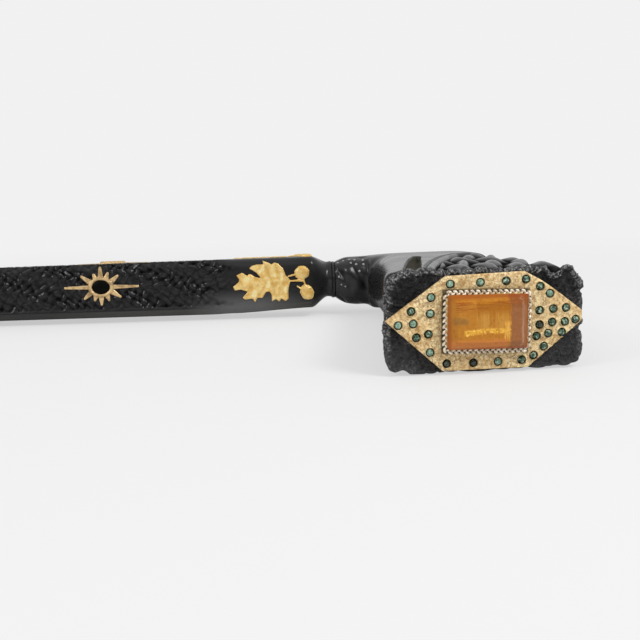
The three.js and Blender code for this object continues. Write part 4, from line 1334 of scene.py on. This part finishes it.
def makeSun(side):
    shape = sunShape
    matrix = flatFrame(side, shape["place"] - (shape["topShift"] if side == "top" else 0), shape["rise"])
    parts = []
    for share, turn in zip(rayShares, rayTurns):
        way = np.array([math.cos(math.radians(turn)), math.sin(math.radians(turn))])
        tip, base = way * (share * shape["reach"]), way * shape["hub"]
        wide, thin = shape["longRay"] if share > 0.9 else shape["shortRay"]
        run = Vector((*(tip - base), 0))
        cone = {"vertices": 16, "radius1": wide * mm, "radius2": thin * mm, "depth": run.length * mm}
        ray = added(bpy.ops.mesh.primitive_cone_add, **cone)
        middle = Matrix.Translation(Vector((*(base + tip) / 2, 0)) * mm)
        ray.data.transform(middle @ run.to_track_quat("Z", "Y").to_matrix().to_4x4())
        ball = makeBall(16, 8, thin * shape["ballGrow"])
        ball.data.transform(Matrix.Translation(Vector((*tip, 0)) * mm))
        parts += [ray, ball]
    for part in parts:
        part.data.transform(Matrix.Diagonal((1, 1, shape["flatness"], 1)))
    torus = {"major_segments": 64, "minor_segments": 16}
    torus.update(major_radius=shape["ringRadius"] * mm, minor_radius=shape["ringWire"] * mm)
    ring = added(bpy.ops.mesh.primitive_torus_add, **torus)
    ring.data.transform(Matrix.Translation((0, 0, 0.3 * mm)) @ Matrix.Diagonal((1, 0.78, 0.87, 1)))
    sun = joinPieces([ring, *parts])
    sun.name = sun.data.name = f"sunburst_{side}_cast"
    applyModifier(sun, "REMESH", mode="VOXEL", voxel_size=shape["voxel"] * mm)
    applyModifier(sun, "SMOOTH", factor=0.5, iterations=4)
    sun.data.transform(matrix @ Matrix.Translation((0, 0, (0.05 - shape["sink"]) * mm)))
    finishPiece(sun, sunGold, [f"sunburst_{side}"], 50)

    stone = makeBall(48, 24, 1)
    stone.name = stone.data.name = f"sun_stone_{side}_domed"
    dome = Matrix.Translation((0, 0, -shape["sink"] * mm)) @ Matrix.Diagonal((*shape["dome"], 1))
    stone.data.transform(matrix @ dome)
    finishPiece(stone, blackGlass, [f"sun_stone_{side}"], 40)


def makeSprig(side):
    shape, size = sprigShape, sprigShape["width"]
    matrix = flatFrame(side, shape["place"], shape["rise"])
    node = f"oak_sprig_{side}"
    sprig = copyNode(node, f"{node}_veined")
    starts, ends = outlineOf(sprig, matrix, shape["level"])
    applyModifier(sprig, "REMESH", mode="VOXEL", voxel_size=shape["voxel"] * mm)
    spots = inFrame(matrix, cornersOf(sprig)) / mm
    flat = spots[:, :2]
    edge = distanceTo(flat, starts, ends)
    raised = smoothStep(spots[:, 2], 0.45, 0.6)
    tips, roots = np.array(leafVeins).transpose(1, 0, 2) * size
    vein = distanceTo(flat, tips, roots)
    onLeaf = 1 - smoothStep(flat[:, 0], *np.array(shape["leafEnd"]) * size)
    furrow = np.exp(-((vein / 0.5) ** 2)) * smoothStep(edge, 0, 0.8)
    lumps = rugged(flat[:, 0] * 0.5, flat[:, 1] * 0.42) * smoothStep(edge, 0.1, 0.7)
    lift = shape["leafRise"] * (1 - np.exp(-edge / 0.6))
    lift = (lift - shape["furrowDepth"] * furrow + shape["lumpHeight"] * lumps) * onLeaf
    for (x, y), halfLength, halfWidth, turn in acorns:
        ahead, aside = swung(flat[:, 0] - x * size, flat[:, 1] - y * size, math.radians(turn))
        ahead, aside = ahead / (halfLength * size), aside / (halfWidth * size)
        inside = mound(np.hypot(ahead, aside))
        cup = smoothStep(-ahead, 0.1, 0.25) * (0.07 + 0.06 * np.sin(ahead * 22) * np.sin(aside * 20))
        dome = 0.25 + 0.95 * np.sqrt(inside) + cup * (inside > 0.1)
        lift = np.where(inside > 0.02, dome - spots[:, 2], lift)
    spots[:, 2] += lift * raised
    onAcorn = 1 - onLeaf
    spots[:, 2] = spots[:, 2] * (shape["leafFlat"] + shape["acornExtra"] * onAcorn) - shape["sink"]
    # painted shade in the leaf's furrows and between its lumps, and the acorns' own darker tone
    deep = 0.5 * furrow + 0.8 * (1 - lumps) - 0.3 * smoothStep(edge, 0, 1)
    shade = 0.6 * raised * onLeaf * smoothStep(deep, 0.2, 0.8)
    setShare(sprig, "hollow", np.maximum(shade, 0.4 * raised * onAcorn))
    # painted highlights on the highest lumps of the leaf
    setShare(sprig, "polished", 0.8 * raised * onLeaf * smoothStep(lumps, 0.86, 1))
    moveCorners(sprig, outOfFrame(matrix, spots * mm))
    applyModifier(sprig, "SMOOTH", factor=0.5, iterations=2)
    finishPiece(sprig, castGold, [node], 50)


for side in leanShares:
    makeSun(side)
    makeSprig(side)
print("ornaments worked")


# The solids that are shown as they are, with their finishes
carried = {
    "stone_collet": castGold,
    "joint_collar": carvedWood,
    "joint_stud": steel,
    "ferrule": brass,
    "ferrule_tip": steel,
    "ferrule_pin": steel,
}
for node, material in carried.items():
    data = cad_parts[node].data
    data.materials.clear()
    data.materials.append(material)
print("carried nodes finished")


def makeFloor():
    middle = Vector(studio["floorMiddle"])
    floor = added(bpy.ops.mesh.primitive_plane_add, size=studio["floorSize"], location=middle)
    floor.name = "floor"
    pale = Finish("paleFloor", studio["floorColour"], 0.8, Specular_IOR_Level=0.1)
    way = pale.vector("SUBTRACT", pale.spot(), Vector(studio["eye"]) - middle)
    far = ((pale.vector("LENGTH", way, out="Value") - studio["glowFrom"]) / studio["glowOver"]).clipped()
    share = studio["floorGlow"] + (1 - studio["floorGlow"]) * far
    glow = pale.node("ShaderNodeEmission", {}, {"Color": (*studio["skyColour"], 1)})
    camera = pale.node("ShaderNodeLightPath", out="Is Camera Ray")
    pale.show("Material Output", camera * share, Wire(pale, pale.shader.outputs[0]), glow)
    floor.data.materials.append(pale.material)


def makeSky():
    world = bpy.data.worlds.new("paleRoom")
    world.use_nodes = True
    bpy.context.scene.world = world
    sky = Nodes(world.node_tree)
    direction = sky.node("ShaderNodeTexCoord", out="Generated")
    fades = []
    for axis, gain, start in studio["skyFades"]:
        way = sky.vector("DOT_PRODUCT", direction, axis, out="Value")
        fades.append((way * gain + start).clipped())
    behind, above = fades
    low = studio["skyBefore"] + (studio["skyBehind"] - studio["skyBefore"]) * behind
    light = low + (studio["skyAbove"] - low) * above
    lit = sky.node("ShaderNodeBackground", {}, {"Color": (1, 1, 1, 1), "Strength": light})
    seen = sky.node("ShaderNodeBackground", {}, {"Color": (*studio["skyColour"], 1)})
    camera = sky.node("ShaderNodeLightPath", out="Is Camera Ray")
    sky.show("World Output", camera, lit, seen)


lamps = [  # name, place, size, power; each is aimed near the handle
    ("lampRight", (0.85, -0.45, 0.66), 0.3, 4.2),
    ("lampLeft", (-0.3, -0.46, 0.52), 0.26, 2),
]


def makeLamps():
    for name, place, size, power in lamps:
        lamp = added(bpy.ops.object.light_add, type="AREA", location=place)
        lamp.name = name
        lamp.data.size = size
        lamp.data.energy = power
        aim = Vector(studio["lampAim"]) - Vector(place)
        lamp.rotation_euler = aim.to_track_quat("-Z", "Y").to_euler()


placeCamera()
makeFloor()
makeSky()
makeLamps()
bpy.context.scene.view_settings.view_transform = "Standard"
print("studio set")
